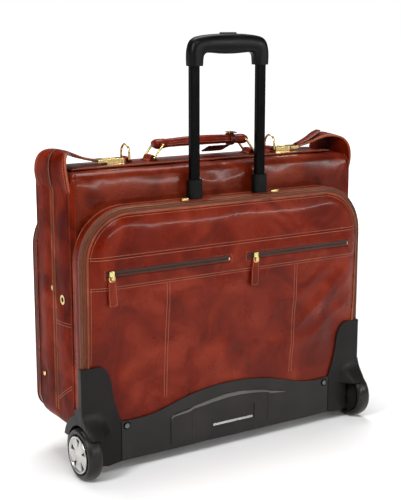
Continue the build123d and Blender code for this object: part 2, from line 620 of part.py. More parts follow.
def strap_clip():
    """Left brass clip: a tongue and a frame with a window for the strap."""
    tongue = block(-BUCKLE_X1 - 1, -BUCKLE_X0 - 8, FITTING_Y - 6, FITTING_Y + 6, 498.4, 503)
    frame = block(-CLIP_X1, -BUCKLE_X1 - 0.5, FITTING_Y - 12, FITTING_Y + 12, 498.4, 503.4)
    window = block(-CLIP_X1 + 4, -BUCKLE_X1 - 6, FITTING_Y - 9, FITTING_Y + 9, 490, 510)
    return fillet(frame.edges().group_by(Axis.Z)[-1], 1.0) + tongue - window


save("strap_buckles", both_sides(strap_buckle()))
save("strap_clip_left", strap_clip())
save("strap_clip_right", other_side(strap_clip()))

STRAP_GAP = 0.5               # between the ear and the strap that hinges on it
STRAP_END_Z = 503.0


def ear():
    """Left ear: the gusset flap that rises over the corner of the case, widest at the side."""
    end_x = -STRAP_HINGE_X - STRAP_GAP
    under = EAR_TOP - EAR_THICKNESS
    outer = Polyline((-284.5, EAR_LOW), (-288.5, 490), (-286, 508), (-277, 520), (end_x, EAR_TOP))
    join = Line((end_x, EAR_TOP), (end_x, under))
    inner = Polyline((end_x, under), (-275, 516.5), (-282.5, 506), (-285, 490), (-281, EAR_LOW),
                     (-284.5, EAR_LOW))
    shape = slab(make_face([outer, join, inner]), -80, 100)
    plan = polygon([(-300, -50), (-281, -50), (-250, -12), (-250, 40), (-281, 78), (-300, 78)])
    return shape & plan_slab(plan, EAR_LOW, 540)


def ear_strap():
    """Left strap from the ear down to the clip, tapering to the clip's width."""
    profile = polygon([(-STRAP_HINGE_X, EAR_TOP), (-CLIP_X1, STRAP_END_Z),
                       (-CLIP_X1, STRAP_END_Z - EAR_THICKNESS), (-STRAP_HINGE_X, EAR_TOP - EAR_THICKNESS)])
    plan = polygon([(-270, -14), (-262, -14), (-225, 1), (-200, 1), (-200, 21), (-225, 21), (-262, 42),
                    (-270, 42)])
    return slab(profile, -80, 100) & plan_slab(plan, 480, 540)


save("ears", both_sides(ear()))
save("ear_strap_left", ear_strap())
save("ear_strap_right", other_side(ear_strap()))
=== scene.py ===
"""Looks of the wheeled leather suit carrier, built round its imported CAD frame.

Lengths in the builders are millimetres in the CAD frame: +Z up, -Y the trolley side.
A part is a pair of lists, (points, faces), and build() turns it into an object in metres.
"""

import math

import bmesh
import bpy
from mathutils import Matrix, Vector, noise


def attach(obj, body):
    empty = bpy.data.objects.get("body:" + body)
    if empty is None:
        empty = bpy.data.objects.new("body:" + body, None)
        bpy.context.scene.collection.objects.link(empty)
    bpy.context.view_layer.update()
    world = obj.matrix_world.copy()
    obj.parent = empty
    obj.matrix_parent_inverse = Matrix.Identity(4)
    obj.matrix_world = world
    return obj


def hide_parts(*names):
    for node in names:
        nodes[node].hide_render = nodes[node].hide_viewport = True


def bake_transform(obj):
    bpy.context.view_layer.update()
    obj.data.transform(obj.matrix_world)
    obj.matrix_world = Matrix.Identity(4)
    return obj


MM = 0.001
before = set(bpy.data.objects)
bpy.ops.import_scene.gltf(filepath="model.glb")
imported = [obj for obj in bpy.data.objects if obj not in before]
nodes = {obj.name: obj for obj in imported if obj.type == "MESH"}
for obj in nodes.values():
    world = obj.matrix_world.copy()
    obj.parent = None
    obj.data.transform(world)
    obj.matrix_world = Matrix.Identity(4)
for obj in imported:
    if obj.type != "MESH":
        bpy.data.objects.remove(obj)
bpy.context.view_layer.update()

# --- dimensions shared with the CAD model ---
HALF_WIDTH = 280.0
CASE_LOW, CASE_TOP = 59.0, 491.0
SPLIT_Y = 11.0
FRONT_Y, REAR_Y = -58.5, 80.5
POCKET_TOP, POCKET_RADIUS = 438.0, 85.0
ZIP_Y = -82.1
BAND_LOW, BAND_HIGH = 313.5, 361.0
POCKET_ZIP_Z = 336.0
POCKET_ZIPS = ((-242.0, -10.0), (25.0, 244.0))
PULL_X = {"left": -234.0, "right": 40.0}
HANDLE_Z = 521.5
STRIP_TOP = 496.0

# outlines seen from the front: half width, low, high, top corner radius, bottom corner radius
CASE_OUTLINE = (HALF_WIDTH, CASE_LOW, CASE_TOP, 16.0, 30.0)
POCKET_OUTLINE = (HALF_WIDTH, CASE_LOW, POCKET_TOP, POCKET_RADIUS, 30.0)
REAR_OUTLINE = (HALF_WIDTH, 67.0, POCKET_TOP, POCKET_RADIUS, 30.0)


# --- materials ---

def new_material(name, roughness, metallic=0.0):
    material = bpy.data.materials.new(name)
    material.use_nodes = True
    shader = material.node_tree.nodes["Principled BSDF"]
    shader.inputs["Roughness"].default_value = roughness
    shader.inputs["Metallic"].default_value = metallic
    coords = material.node_tree.nodes.new("ShaderNodeTexCoord")
    return material, material.node_tree, shader, coords.outputs["Object"]


def noise_at(tree, coords, scale, detail=3.0, distortion=0.0, stretch=(1, 1, 1)):
    """A noise texture's value, with the coordinates stretched first."""
    mapping = tree.nodes.new("ShaderNodeMapping")
    mapping.inputs["Scale"].default_value = stretch
    tree.links.new(coords, mapping.inputs["Vector"])
    texture = tree.nodes.new("ShaderNodeTexNoise")
    texture.inputs["Scale"].default_value = scale
    texture.inputs["Detail"].default_value = detail
    texture.inputs["Distortion"].default_value = distortion
    tree.links.new(mapping.outputs["Vector"], texture.inputs["Vector"])
    return texture.outputs["Fac"]


def cells_at(tree, coords, scale):
    texture = tree.nodes.new("ShaderNodeTexVoronoi")
    texture.feature = "F1"
    texture.inputs["Scale"].default_value = scale
    tree.links.new(coords, texture.inputs["Vector"])
    return texture.outputs["Distance"]


def ramp(tree, factor, *stops):
    node = tree.nodes.new("ShaderNodeValToRGB")
    elements = node.color_ramp.elements
    while len(elements) < len(stops):
        elements.new(0.5)
    for element, (place, colour) in zip(elements, stops):
        element.position = place
        element.color = (*colour, 1.0) if len(colour) == 3 else colour
    tree.links.new(factor, node.inputs["Fac"])
    return node.outputs["Color"]


def grey(value):
    return (value, value, value)


def bump(tree, height, distance, normal=None):
    node = tree.nodes.new("ShaderNodeBump")
    node.inputs["Strength"].default_value = 1.0
    node.inputs["Distance"].default_value = distance
    tree.links.new(height, node.inputs["Height"])
    if normal is not None:
        tree.links.new(normal, node.inputs["Normal"])
    return node.outputs["Normal"]


def combined(tree, operation, first, second):
    node = tree.nodes.new("ShaderNodeMath")
    node.operation = operation
    tree.links.new(first, node.inputs[0])
    tree.links.new(second, node.inputs[1])
    return node.outputs[0]


def faded(tree, source, low, high, least, most=1.0):
    """A value that goes from least to most as the source goes from low to high."""
    node = tree.nodes.new("ShaderNodeMapRange")
    node.inputs["From Min"].default_value = low
    node.inputs["From Max"].default_value = high
    node.inputs["To Min"].default_value = least
    node.inputs["To Max"].default_value = most
    tree.links.new(source, node.inputs["Value"])
    return node.outputs["Result"]


def mixed(tree, factor, colour_a, colour_b):
    node = tree.nodes.new("ShaderNodeMix")
    node.data_type = "RGBA"
    tree.links.new(factor, node.inputs["Factor"])
    for socket, colour in ((node.inputs["A"], colour_a), (node.inputs["B"], colour_b)):
        if isinstance(colour, tuple):
            socket.default_value = (*colour, 1.0)
        else:
            tree.links.new(colour, socket)
    return node.outputs["Result"]


def leather(name, dark, middle, light, roughness=(0.24, 0.42), coat=0.11, folds=0.0019, shine=0.14):
    """Glazed cowhide: clouded colour, fine grain, soft creases and patches where the glaze is duller."""
    material, tree, shader, coords = new_material(name, 0.35)
    clouds = noise_at(tree, coords, 13.0, 8.0, 1.2)
    colour = ramp(tree, clouds, (0.34, dark), (0.50, middle), (0.68, light))
    pores = cells_at(tree, coords, 520.0)
    pore_mask = ramp(tree, pores, (0.0, grey(0.0)), (0.35, grey(1.0)))
    darker = tuple(c * 0.6 for c in dark)
    tree.links.new(mixed(tree, pore_mask, darker, colour), shader.inputs["Base Color"])
    dull = noise_at(tree, coords, 22.0, 4.0, 0.4)
    tree.links.new(ramp(tree, dull, (0.35, grey(roughness[0])), (0.7, grey(roughness[1]))),
                   shader.inputs["Roughness"])
    wide = bump(tree, noise_at(tree, coords, 13.0, 3.0, 0.5, (1, 1, 0.7)), folds)
    small = bump(tree, noise_at(tree, coords, 60.0, 5.0, 1.5), 0.0007, wide)
    grain = bump(tree, pore_mask, 0.00009, small)
    tree.links.new(grain, shader.inputs["Normal"])
    shader.inputs["Specular IOR Level"].default_value = shine
    shader.inputs["Specular Tint"].default_value = (1.0, 0.66, 0.54, 1.0)
    shader.inputs["Coat Weight"].default_value = coat
    shader.inputs["Coat Roughness"].default_value = 0.12
    return material


def moulded(name, base, worn, roughness=0.42, grain=900.0, depth=0.00006, shine=0.22):
    """Moulded plastic or rubber: fine spark texture, faint cloudy wear."""
    material, tree, shader, coords = new_material(name, roughness)
    shader.inputs["Specular IOR Level"].default_value = shine
    clouds = noise_at(tree, coords, 18.0, 5.0)
    tree.links.new(ramp(tree, clouds, (0.35, base), (0.75, worn)), shader.inputs["Base Color"])
    tree.links.new(ramp(tree, noise_at(tree, coords, 40.0), (0.3, grey(roughness - 0.06)),
                        (0.7, grey(roughness + 0.08))), shader.inputs["Roughness"])
    tree.links.new(bump(tree, noise_at(tree, coords, grain, 2.0), depth), shader.inputs["Normal"])
    return material


def metal(name, base, dull, roughness=0.2, stretch=(1, 1, 1), grain=300.0):
    """Metal with faint streaks and slightly tarnished patches."""
    material, tree, shader, coords = new_material(name, roughness, 1.0)
    patches = noise_at(tree, coords, 60.0, 4.0)
    tree.links.new(ramp(tree, patches, (0.35, base), (0.8, dull)), shader.inputs["Base Color"])
    streaks = noise_at(tree, coords, grain, 3.0, 0.0, stretch)
    tree.links.new(ramp(tree, streaks, (0.3, grey(roughness)), (0.8, grey(roughness + 0.16))),
                   shader.inputs["Roughness"])
    tree.links.new(bump(tree, streaks, 0.00004), shader.inputs["Normal"])
    return material


def woven(name, base, light, pitch=900.0, roughness=0.85):
    """Plain woven cloth: crossed threads from two wave textures."""
    material, tree, shader, coords = new_material(name, roughness)
    heights = []
    for direction in ("X", "Z"):
        wave = tree.nodes.new("ShaderNodeTexWave")
        wave.bands_direction = direction
        wave.inputs["Scale"].default_value = pitch / 6.0
        wave.inputs["Distortion"].default_value = 0.6
        tree.links.new(coords, wave.inputs["Vector"])
        heights.append(wave.outputs["Fac"])
    threads = combined(tree, "MULTIPLY", *heights)
    tree.links.new(ramp(tree, threads, (0.1, base), (0.9, light)), shader.inputs["Base Color"])
    tree.links.new(bump(tree, threads, 0.0002), shader.inputs["Normal"])
    shader.inputs["Sheen Weight"].default_value = 0.15
    return material


LEATHER = leather("leather", (0.082, 0.0040, 0.0006), (0.132, 0.0085, 0.0014), (0.190, 0.020, 0.007))
# A darker copy of the same leather: its darkness is painted shade, set to the shaded upper body. The case
# halves, top strip, ears, strap tip, main pulls and front piping all wear it.
SHADED_LEATHER = leather("leather_painted_shade", (0.050, 0.0035, 0.0008), (0.100, 0.0085, 0.0018),
                       (0.165, 0.020, 0.007), coat=0.12, shine=0.12)
# A copy of the leather for faces turned to the sides: its colour and near lack of shine are set for how light
# falls there, painted light on one hide.
SIDE_LEATHER = leather("leather_side", (0.060, 0.0035, 0.0008), (0.118, 0.0082, 0.0016),
                       (0.180, 0.018, 0.006), roughness=(0.34, 0.5), coat=0.02, shine=0.02)
PIPING = leather("leather_piping", (0.13, 0.026, 0.010), (0.22, 0.050, 0.019), (0.30, 0.085, 0.037),
                 folds=0.0002)
DARK_LEATHER = leather("leather_dark", (0.045, 0.007, 0.003), (0.075, 0.011, 0.005), (0.12, 0.02, 0.009))
THREAD = woven("thread", (0.33, 0.11, 0.05), (0.48, 0.19, 0.10), 3000.0, 0.7)
TAPE = woven("zip_tape", (0.085, 0.014, 0.005), (0.150, 0.032, 0.012), 2200.0)
TEETH = metal("zip_teeth", (0.22, 0.082, 0.034), (0.12, 0.045, 0.019), 0.38)
POCKET_TAPE = woven("pocket_zip_tape", (0.030, 0.0085, 0.0040), (0.055, 0.016, 0.0075), 2200.0)
POCKET_TEETH = metal("pocket_zip_teeth", (0.15, 0.075, 0.045), (0.08, 0.04, 0.024), 0.36)
LINING = woven("lining", (0.035, 0.02, 0.014), (0.06, 0.035, 0.024), 1500.0)
BRASS = metal("brass", (0.80, 0.62, 0.28), (0.50, 0.36, 0.14), 0.16)
STEEL = metal("steel", (0.55, 0.55, 0.54), (0.38, 0.38, 0.37), 0.22)
DARK_STEEL = metal("dark_steel", (0.16, 0.16, 0.16), (0.08, 0.08, 0.08), 0.28)
SILVER = metal("silver_hub", (0.62, 0.615, 0.59), (0.42, 0.415, 0.40), 0.28)
BLACK_TUBE = moulded("black_tube", grey(0.0010), (0.002, 0.0018, 0.0016), 0.22, 400.0, 0.00001, 0.07)
GUARD_PLASTIC = moulded("guard_plastic", (0.014, 0.0122, 0.0115), (0.023, 0.0200, 0.0185),
                        0.44, 1100.0, 0.00008)
SKIRT_PLASTIC = moulded("skirt_plastic", (0.0075, 0.0064, 0.0061), (0.012, 0.0104, 0.0098),
                        0.40, 1100.0, 0.00008, 0.14)
# Lighter grey copy of the plate plastic: a painted highlight for the bevel along the raised field's upper
# edge.
HIGHLIGHT_PLASTIC = moulded("edge_plastic_painted_highlight", (0.085, 0.079, 0.072), (0.12, 0.112, 0.102), 0.30, 900.0, 0.00004)
GRIP_PLASTIC = moulded("grip_plastic", (0.0022, 0.0020, 0.0019), (0.0048, 0.0043, 0.0040),
                       0.34, 1300.0, 0.00004, 0.12)
BUTTON_PLASTIC = moulded("button_plastic", (0.011, 0.0105, 0.010), (0.018, 0.017, 0.016),
                         0.30, 700.0, 0.00003)
INNER_PLASTIC = moulded("inner_plastic", (0.03, 0.028, 0.026), (0.045, 0.042, 0.04), 0.55)
RUBBER = moulded("tyre_rubber", (0.010, 0.009, 0.008), (0.022, 0.020, 0.018), 0.30, 500.0, 0.00005)

CAD_FINISH = {
    "tyre_left": RUBBER, "tyre_right": RUBBER, "hub_left": SILVER, "hub_right": SILVER,
    "wheel_axles": DARK_STEEL, "plate_screws": DARK_STEEL, "plate_bar": STEEL, "lock_pin_left": STEEL,
    "lock_pin_right": STEEL, "push_rods": STEEL, "garment_rail": STEEL,
    "outer_tubes": BLACK_TUBE, "middle_tubes": BLACK_TUBE, "inner_tubes": BLACK_TUBE,
    "tube_collars": GRIP_PLASTIC, "trolley_grip": GRIP_PLASTIC, "release_button": BUTTON_PLASTIC,
    "kick_plate": GUARD_PLASTIC, "wheel_guard_left": SKIRT_PLASTIC, "wheel_guard_right": SKIRT_PLASTIC,
    "rear_feet": GUARD_PLASTIC, "trolley_board": LINING, "tube_foot": INNER_PLASTIC,
    "lock_blocks": INNER_PLASTIC, "hinge_strip": DARK_LEATHER,
}
for node_name, node in nodes.items():
    finish = CAD_FINISH.get(node_name, BRASS)
    for material_slot in node.material_slots:
        material_slot.material = finish


# --- mesh helpers ---

def build(name, part, material, sharp=38.0, lining_from=None):
    """A smooth-shaded object from a part. Faces from lining_from on are lined with cloth."""
    verts, faces = part
    mesh = bpy.data.meshes.new(name)
    mesh.from_pydata([(x * MM, y * MM, z * MM) for x, y, z in verts], [], faces)
    mesh.materials.append(material)
    if lining_from is not None:
        mesh.materials.append(LINING)
        for polygon in mesh.polygons:
            polygon.material_index = 1 if polygon.index >= lining_from else 0
    work = bmesh.new()
    work.from_mesh(mesh)
    bmesh.ops.recalc_face_normals(work, faces=work.faces)
    work.to_mesh(mesh)
    work.free()
    for polygon in mesh.polygons:
        polygon.use_smooth = True
    mesh.set_sharp_from_angle(angle=math.radians(sharp))
    piece = bpy.data.objects.new(name, mesh)
    bpy.context.scene.collection.objects.link(piece)
    return piece


def add(name, part, material, slot, body, *stands_for, sharp=38.0, lining_from=None):
    """Build a piece that rides on a body and stands for the named CAD nodes."""
    piece = build(name, part, material, sharp, lining_from)
    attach(piece, body)
    if stands_for:
        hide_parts(*stands_for)
    return piece


def grid_faces(rows, columns):
    """Faces of a grid of points, row after row."""
    return [(a, a + 1, a + columns + 1, a + columns)
            for i in range(rows - 1) for a in range(i * columns, (i + 1) * columns - 1)]


def grid_rim(rows, columns):
    """The points round the edge of a grid, in order."""
    loop = list(range(columns)) + [i * columns + columns - 1 for i in range(1, rows)]
    loop += [(rows - 1) * columns + j for j in reversed(range(columns - 1))]
    return loop + [i * columns for i in reversed(range(1, rows - 1))]


def tube_faces(rings, sides, closed=False, caps=False):
    """Faces of a tube of rings of points, joined end to end when closed."""
    faces = []
    for i in range(rings if closed else rings - 1):
        following = (i + 1) % rings
        for k in range(sides):
            n = (k + 1) % sides
            faces.append((i * sides + k, i * sides + n, following * sides + n, following * sides + k))
    if caps:
        faces.append(tuple(reversed(range(sides))))
        faces.append(tuple(range((rings - 1) * sides, rings * sides)))
    return faces


def join_lists(parts):
    """Several parts as one."""
    verts, faces = [], []
    for part_verts, part_faces in parts:
        start = len(verts)
        verts.extend(part_verts)
        faces.extend(tuple(start + i for i in face) for face in part_faces)
    return verts, faces


def smooth_step(low, high, value):
    t = min(max((value - low) / (high - low), 0.0), 1.0)
    return t * t * (3 - 2 * t)


def through(points, value):
    """Smooth value through (place, value) pairs."""
    if value <= points[0][0]:
        return points[0][1]
    for i in range(len(points) - 1):
        (x0, y0), (x1, y1) = points[i], points[i + 1]
        if value <= x1:
            before = points[i - 1] if i > 0 else points[i]
            after = points[i + 2] if i + 2 < len(points) else points[i + 1]
            slope_0 = (y1 - before[1]) / max(x1 - before[0], 1e-6)
            slope_1 = (after[1] - y0) / max(after[0] - x0, 1e-6)
            span = x1 - x0
            t = (value - x0) / span
            return ((2 * t ** 3 - 3 * t ** 2 + 1) * y0 + (t ** 3 - 2 * t ** 2 + t) * span * slope_0
                    + (3 * t ** 2 - 2 * t ** 3) * y1 + (t ** 3 - t ** 2) * span * slope_1)
    return points[-1][1]


def smooth_path(points, count):
    """Points evenly spread in parameter along a smooth curve through the given points."""
    columns = [[(i, p[k]) for i, p in enumerate(points)] for k in range(len(points[0]))]
    last = len(points) - 1
    return [tuple(through(column, last * i / (count - 1)) for column in columns) for i in range(count)]


def edge_distance(outline, x, z):
    """How far a point lies inside a rounded outline."""
    half, low, high, top_radius, bottom_radius = outline
    middle = (low + high) / 2
    radius = top_radius if z > middle else bottom_radius
    dx = abs(x) - (half - radius)
    dz = abs(z - middle) - ((high - low) / 2 - radius)
    return radius - math.hypot(max(dx, 0.0), max(dz, 0.0)) - min(max(dx, dz), 0.0)


def half_width_at(outline, z):
    half, low, high, top_radius, bottom_radius = outline
    if z > high - top_radius:
        rise = min(z - (high - top_radius), top_radius)
        return half - top_radius + math.sqrt(top_radius ** 2 - rise ** 2)
    if z < low + bottom_radius:
        drop = min(low + bottom_radius - z, bottom_radius)
        return half - bottom_radius + math.sqrt(bottom_radius ** 2 - drop ** 2)
    return half


def inset(outline, amount):
    half, low, high, top_radius, bottom_radius = outline
    return (half - amount, low + amount, high - amount,
            max(top_radius - amount, 1.0), max(bottom_radius - amount, 1.0))


def spread(low, high, low_edge, high_edge, step):
    """Values from low to high, closer together where the surface rolls over at its edges."""
    turns = 7
    values = [low + low_edge * (1 - math.cos(math.pi / 2 * i / turns)) for i in range(turns)]
    flat_low, flat_high = low + low_edge, high - high_edge
    count = max(2, round((flat_high - flat_low) / step))
    values += [flat_low + (flat_high - flat_low) * i / count for i in range(count + 1)]
    values += [high - high_edge * (1 - math.cos(math.pi / 2 * i / turns)) for i in reversed(range(turns))]
    return values


def skin(outline, surface_y, rim_y, edge, step, rings, wall_shape=None):
    """Skin of a case half or pocket: its face, closer-meshed edge, and a wall back to the rim.

    surface_y(x, z, depth) is the face, with depth the distance inside the outline.
    """
    half, low, high, top_radius, bottom_radius = outline
    rows = spread(low, high, edge, edge, step)
    rows += [high - top_radius * (1 - math.cos(math.radians(a))) for a in range(12, 90, 12)]
    rows = sorted(set(round(z, 1) for z in rows))
    columns = spread(-1.0, 1.0, edge / half, edge / half, step / half)
    width_count = len(columns)
    verts = []
    for z in rows:
        width = half_width_at(outline, z)
        for t in columns:
            depth = max(edge_distance(outline, t * width, z), 0.0)
            verts.append((t * width, surface_y(t * width, z, depth), z))
    faces = grid_faces(len(rows), width_count)
    last = len(rows) - 1
    loop = [i * width_count for i in range(len(rows))]
    loop += [last * width_count + j for j in range(1, width_count)]
    loop += [i * width_count + width_count - 1 for i in reversed(range(last))]
    loop += list(reversed(range(1, width_count - 1)))
    previous = loop
    for ring in range(1, rings + 1):
        share = ring / rings
        current = []
        for index in loop:
            x, y, z = verts[index]
            point = (x, y + (rim_y - y) * share, z)
            current.append(len(verts))
            verts.append(wall_shape(point, share) if wall_shape else point)
        for k in range(len(loop)):
            following = (k + 1) % len(loop)
            faces.append((previous[k], previous[following], current[following], current[k]))
        previous = current
    return verts, faces, previous


def relief(verts, faces, side, amount):
    """Move points along the surface's own normal by amount(point), in mm.

    side is the way the face looks, along Y.
    """
    work = bmesh.new()
    for point in verts:
        work.verts.new(point)
    work.verts.ensure_lookup_table()
    for face in faces:
        work.faces.new([work.verts[i] for i in face])
    bmesh.ops.recalc_face_normals(work, faces=work.faces)
    work.normal_update()
    sign = 1.0 if sum(vert.normal.y for vert in work.verts) * side > 0 else -1.0
    moved = [tuple(vert.co + vert.normal * (sign * amount(vert.co))) for vert in work.verts]
    work.free()
    return moved


def walled(outer_skin, side, thickness, amount, finishing=None):
    """A skin with relief, an inner skin parallel to it, and a rim: the part and its first inner face."""
    verts, faces, rim = outer_skin
    inner = relief(verts, faces, side, lambda point: amount(point) - thickness)
    outer = relief(verts, faces, side, amount)
    if finishing is not None:
        outer = [finishing(point, 0.0) for point in outer]
        inner = [finishing(point, thickness) for point in inner]
    start = len(outer)
    all_faces = list(faces)
    for k in range(len(rim)):
        n = (k + 1) % len(rim)
        all_faces.append((rim[k], rim[n], start + rim[n], start + rim[k]))
    lining_from = len(all_faces)
    all_faces += [tuple(start + i for i in reversed(face)) for face in faces]
    return (outer + inner, all_faces), lining_from


def swept(path, section, closed=False, up=(0.0, 0.0, 1.0)):
    """Sweep a section along a path. section(i, share) gives its (side, up) offsets."""
    points = [Vector(p) for p in path]
    count = len(points)
    verts = []
    for i, point in enumerate(points):
        ahead = points[(i + 1) % count] if closed or i + 1 < count else point
        behind = points[i - 1] if closed or i > 0 else point
        forward = (ahead - behind).normalized()
        across = forward.cross(Vector(up))
        across = across.normalized() if across.length > 1e-4 else Vector((1, 0, 0))
        rise = across.cross(forward).normalized()
        verts += [tuple(point + across * a + rise * b) for a, b in section(i, i / (count - 1))]
    return verts, tube_faces(count, len(verts) // count, closed, caps=not closed)


def circle(radius_a, radius_b=None, sides=10):
    radius_b = radius_a if radius_b is None else radius_b
    return [(radius_a * math.cos(2 * math.pi * k / sides), radius_b * math.sin(2 * math.pi * k / sides))
            for k in range(sides)]


def squared(value, power):
    return math.copysign(abs(value) ** power, value)


def squared_circle(sides, power):
    """Points round a circle of radius 1; a power under 1 pushes them out towards a square."""
    turns = [2 * math.pi * k / sides for k in range(sides)]
    return [(squared(math.cos(turn), power), squared(math.sin(turn), power)) for turn in turns]


def rotation(degrees, axis):
    return Matrix.Rotation(math.radians(degrees), 4, axis)


def cord_along(path, radius, closed=False, sides=10, up=(0.0, 0.0, 1.0)):
    ring = circle(radius, sides=sides)
    return swept(path, lambda i, share: ring, closed=closed, up=up)


def resampled(path, step):
    """The same path with points every step."""
    points = [Vector(p) for p in path]
    lengths = [0.0]
    for a, b in zip(points, points[1:]):
        lengths.append(lengths[-1] + (b - a).length)
    count = max(2, round(lengths[-1] / step))
    result, k = [], 0
    for i in range(count + 1):
        target = lengths[-1] * i / count
        while k < len(points) - 2 and lengths[k + 1] < target:
            k += 1
        span = max(lengths[k + 1] - lengths[k], 1e-9)
        result.append(tuple(points[k].lerp(points[k + 1], (target - lengths[k]) / span)))
    return result


def stitches(path, pitch=4.2, length=2.9, radius=0.42, sink=0.35, out=(0.0, -1.0, 0.0)):
    """A run of short thread loops along a path, each dipping into the leather at its ends."""
    parts = []
    points = resampled(path, pitch)
    outward = Vector(out)
    for a, b in zip(points, points[1:]):
        start, direction = Vector(a), (Vector(b) - Vector(a)).normalized()
        spine = []
        for share, lift in ((0.0, -sink), (0.18, 0.05), (0.5, 0.22), (0.82, 0.05), (1.0, -sink)):
            spine.append(tuple(start + direction * (length * share) + outward * lift))
        parts.append(cord_along(spine, radius, sides=5, up=tuple(outward)))
    return join_lists(parts)


def box_part(x0, x1, y0, y1, z0, z1, bevel=0.0):
    """A bevelled block."""
    work = bmesh.new()
    bmesh.ops.create_cube(work, size=1.0)
    for vert in work.verts:
        vert.co = Vector(((x0 + x1) / 2 + vert.co.x * (x1 - x0), (y0 + y1) / 2 + vert.co.y * (y1 - y0),
                          (z0 + z1) / 2 + vert.co.z * (z1 - z0)))
    if bevel > 0:
        bmesh.ops.bevel(work, geom=work.edges[:], offset=bevel, segments=2, affect="EDGES", profile=0.7)
    work.verts.index_update()
    verts = [tuple(vert.co) for vert in work.verts]
    faces = [tuple(vert.index for vert in face.verts) for face in work.faces]
    work.free()
    return verts, faces


def sheet_part(grid, thickness):
    """A leather sheet with rounded edges from a grid of points on its middle surface."""
    rows, cols = len(grid), len(grid[0])
    verts, faces, normals = [], [], []
    for i in range(rows):
        for j in range(cols):
            a = Vector(grid[min(i + 1, rows - 1)][j]) - Vector(grid[max(i - 1, 0)][j])
            b = Vector(grid[i][min(j + 1, cols - 1)]) - Vector(grid[i][max(j - 1, 0)])
            normals.append(a.cross(b).normalized())
    for sign in (1, -1):
        for i in range(rows):
            for j in range(cols):
                rim = min(i, j, rows - 1 - i, cols - 1 - j)
                share = 0.55 if rim == 0 else 1.0
                offset = sign * thickness / 2 * share
                verts.append(tuple(Vector(grid[i][j]) + normals[i * cols + j] * offset))
    back = rows * cols
    for face in grid_faces(rows, cols):
        faces.append(face)
        faces.append(tuple(back + i for i in (face[0], *reversed(face[1:]))))
    loop = grid_rim(rows, cols)
    for a, b in zip(loop, loop[1:] + loop[:1]):
        faces.append((a, back + a, back + b, b))
    return verts, faces


def loop_points(outline, amount, low=None, fine=1):
    """(x, z) points round an outline, `amount` inside it.

    They go all the way round, or from height low up, over the top and down again.
    """
    half, bottom, high, radius, bottom_radius = inset(outline, amount)
    base = bottom + bottom_radius if low is None else low
    side = [(-half, base + (high - radius - base) * i / (30 * fine)) for i in range(30 * fine)]
    arc = [(-half + radius - radius * math.cos(math.pi / 2 * i / (14 * fine)),
            high - radius + radius * math.sin(math.pi / 2 * i / (14 * fine))) for i in range(14 * fine)]
    top = [((half - radius) * (2 * i / (40 * fine) - 1), high) for i in range(40 * fine + 1)]
    left = side + arc
    points = left + top + [(-x, z) for x, z in reversed(left)]
    if low is not None:
        return points
    corner = [(half - bottom_radius + bottom_radius * math.cos(math.pi / 2 * i / 8),
               bottom + bottom_radius - bottom_radius * math.sin(math.pi / 2 * i / 8)) for i in range(1, 9)]
    floor = [((half - bottom_radius) * (1 - 2 * i / 40), bottom) for i in range(1, 40)]
    return points + corner + floor + [(-x, z) for x, z in reversed(corner)]


def ring_part(outline, section, low=None, depth=None):
    """A strip or cord round an outline. section is a closed list of (amount inside, y)."""
    loops = [loop_points(outline, amount, low) for amount, y in section]
    count, sides = len(loops[0]), len(section)
    verts = []
    for i in range(count):
        for k in range(sides):
            x, z = loops[k][i]
            base = depth(x, z) if depth else 0.0
            verts.append((x, base + section[k][1], z))
    return verts, tube_faces(count, sides, closed=low is None, caps=low is not None)


def round_section(amount, y, radius, sides=10):
    return [(amount + a, y + b) for a, b in circle(radius, sides=sides)]


BLOCK_FACES = [(0, 1, 3, 2), (4, 6, 7, 5), (0, 4, 5, 1), (2, 3, 7, 6), (0, 2, 6, 4), (1, 5, 7, 3)]


def teeth_part(path, across, size=(1.1, 2.2, 1.2)):
    """Zip teeth: one small bevelled block per pitch, alternately to each side of the path."""
    length, width, height = size
    parts = []
    points = resampled(path, length * 1.55)
    for i, (a, b) in enumerate(zip(points, points[1:])):
        start, forward = Vector(a), (Vector(b) - Vector(a)).normalized()
        sideways = Vector(across(a)) if callable(across) else Vector(across)
        rise = forward.cross(sideways).normalized()
        middle = start + sideways * (0.35 * width * (1 if i % 2 else -1))
        corners = []
        for u in (-0.5, 0.5):
            for v in (-0.5, 0.5):
                for w in (-0.5, 0.5):
                    taper = 0.75 if w > 0 else 1.0
                    corner = middle + forward * (u * length * taper) + sideways * (v * width * taper)
                    corners.append(tuple(corner + rise * (w * height)))
        parts.append((corners, BLOCK_FACES))
    return join_lists(parts)


# --- how worn leather lies ---

def ridge(x, z, start, end, width, height):
    """A fold along a line in front view, fading at its ends."""
    ax, az = start
    bx, bz = end
    length = math.hypot(bx - ax, bz - az)
    ux, uz = (bx - ax) / length, (bz - az) / length
    along = (x - ax) * ux + (z - az) * uz
    across = -(x - ax) * uz + (z - az) * ux
    fade_in = smooth_step(-0.25 * length, 0.3 * length, along)
    fade_out = 1 - smooth_step(0.7 * length, 1.25 * length, along)
    return height * fade_in * fade_out * math.exp(-(across / width) ** 2)


def softness(point, size, seed):
    return noise.noise(Vector(point) / size + Vector((seed, seed * 1.7, seed * 0.3)))


# folds in the front panel: start, end, width and height
PANEL_FOLDS = (
    ((150, 205), (262, 285), 16, 2.6), ((190, 300), (268, 372), 12, -1.6),
    ((60, 235), (150, 262), 20, 1.2), ((-250, 150), (-170, 128), 16, 1.6),
    ((-235, 245), (-150, 205), 22, -1.2), ((90, 160), (215, 178), 14, 1.8),
    ((-120, 172), (40, 150), 18, 1.4), ((-262, 395), (-190, 428), 12, 1.4),
    ((180, 395), (256, 372), 14, -1.2), ((132, 190), (250, 300), 6, 1.6),
    ((118, 235), (205, 305), 7, 1.2), ((165, 172), (262, 236), 7, 1.3),
    ((-60, 140), (20, 205), 9, 1.0), ((-210, 300), (-120, 268), 8, 1.0), ((30, 300), (88, 240), 8, -0.9),
)


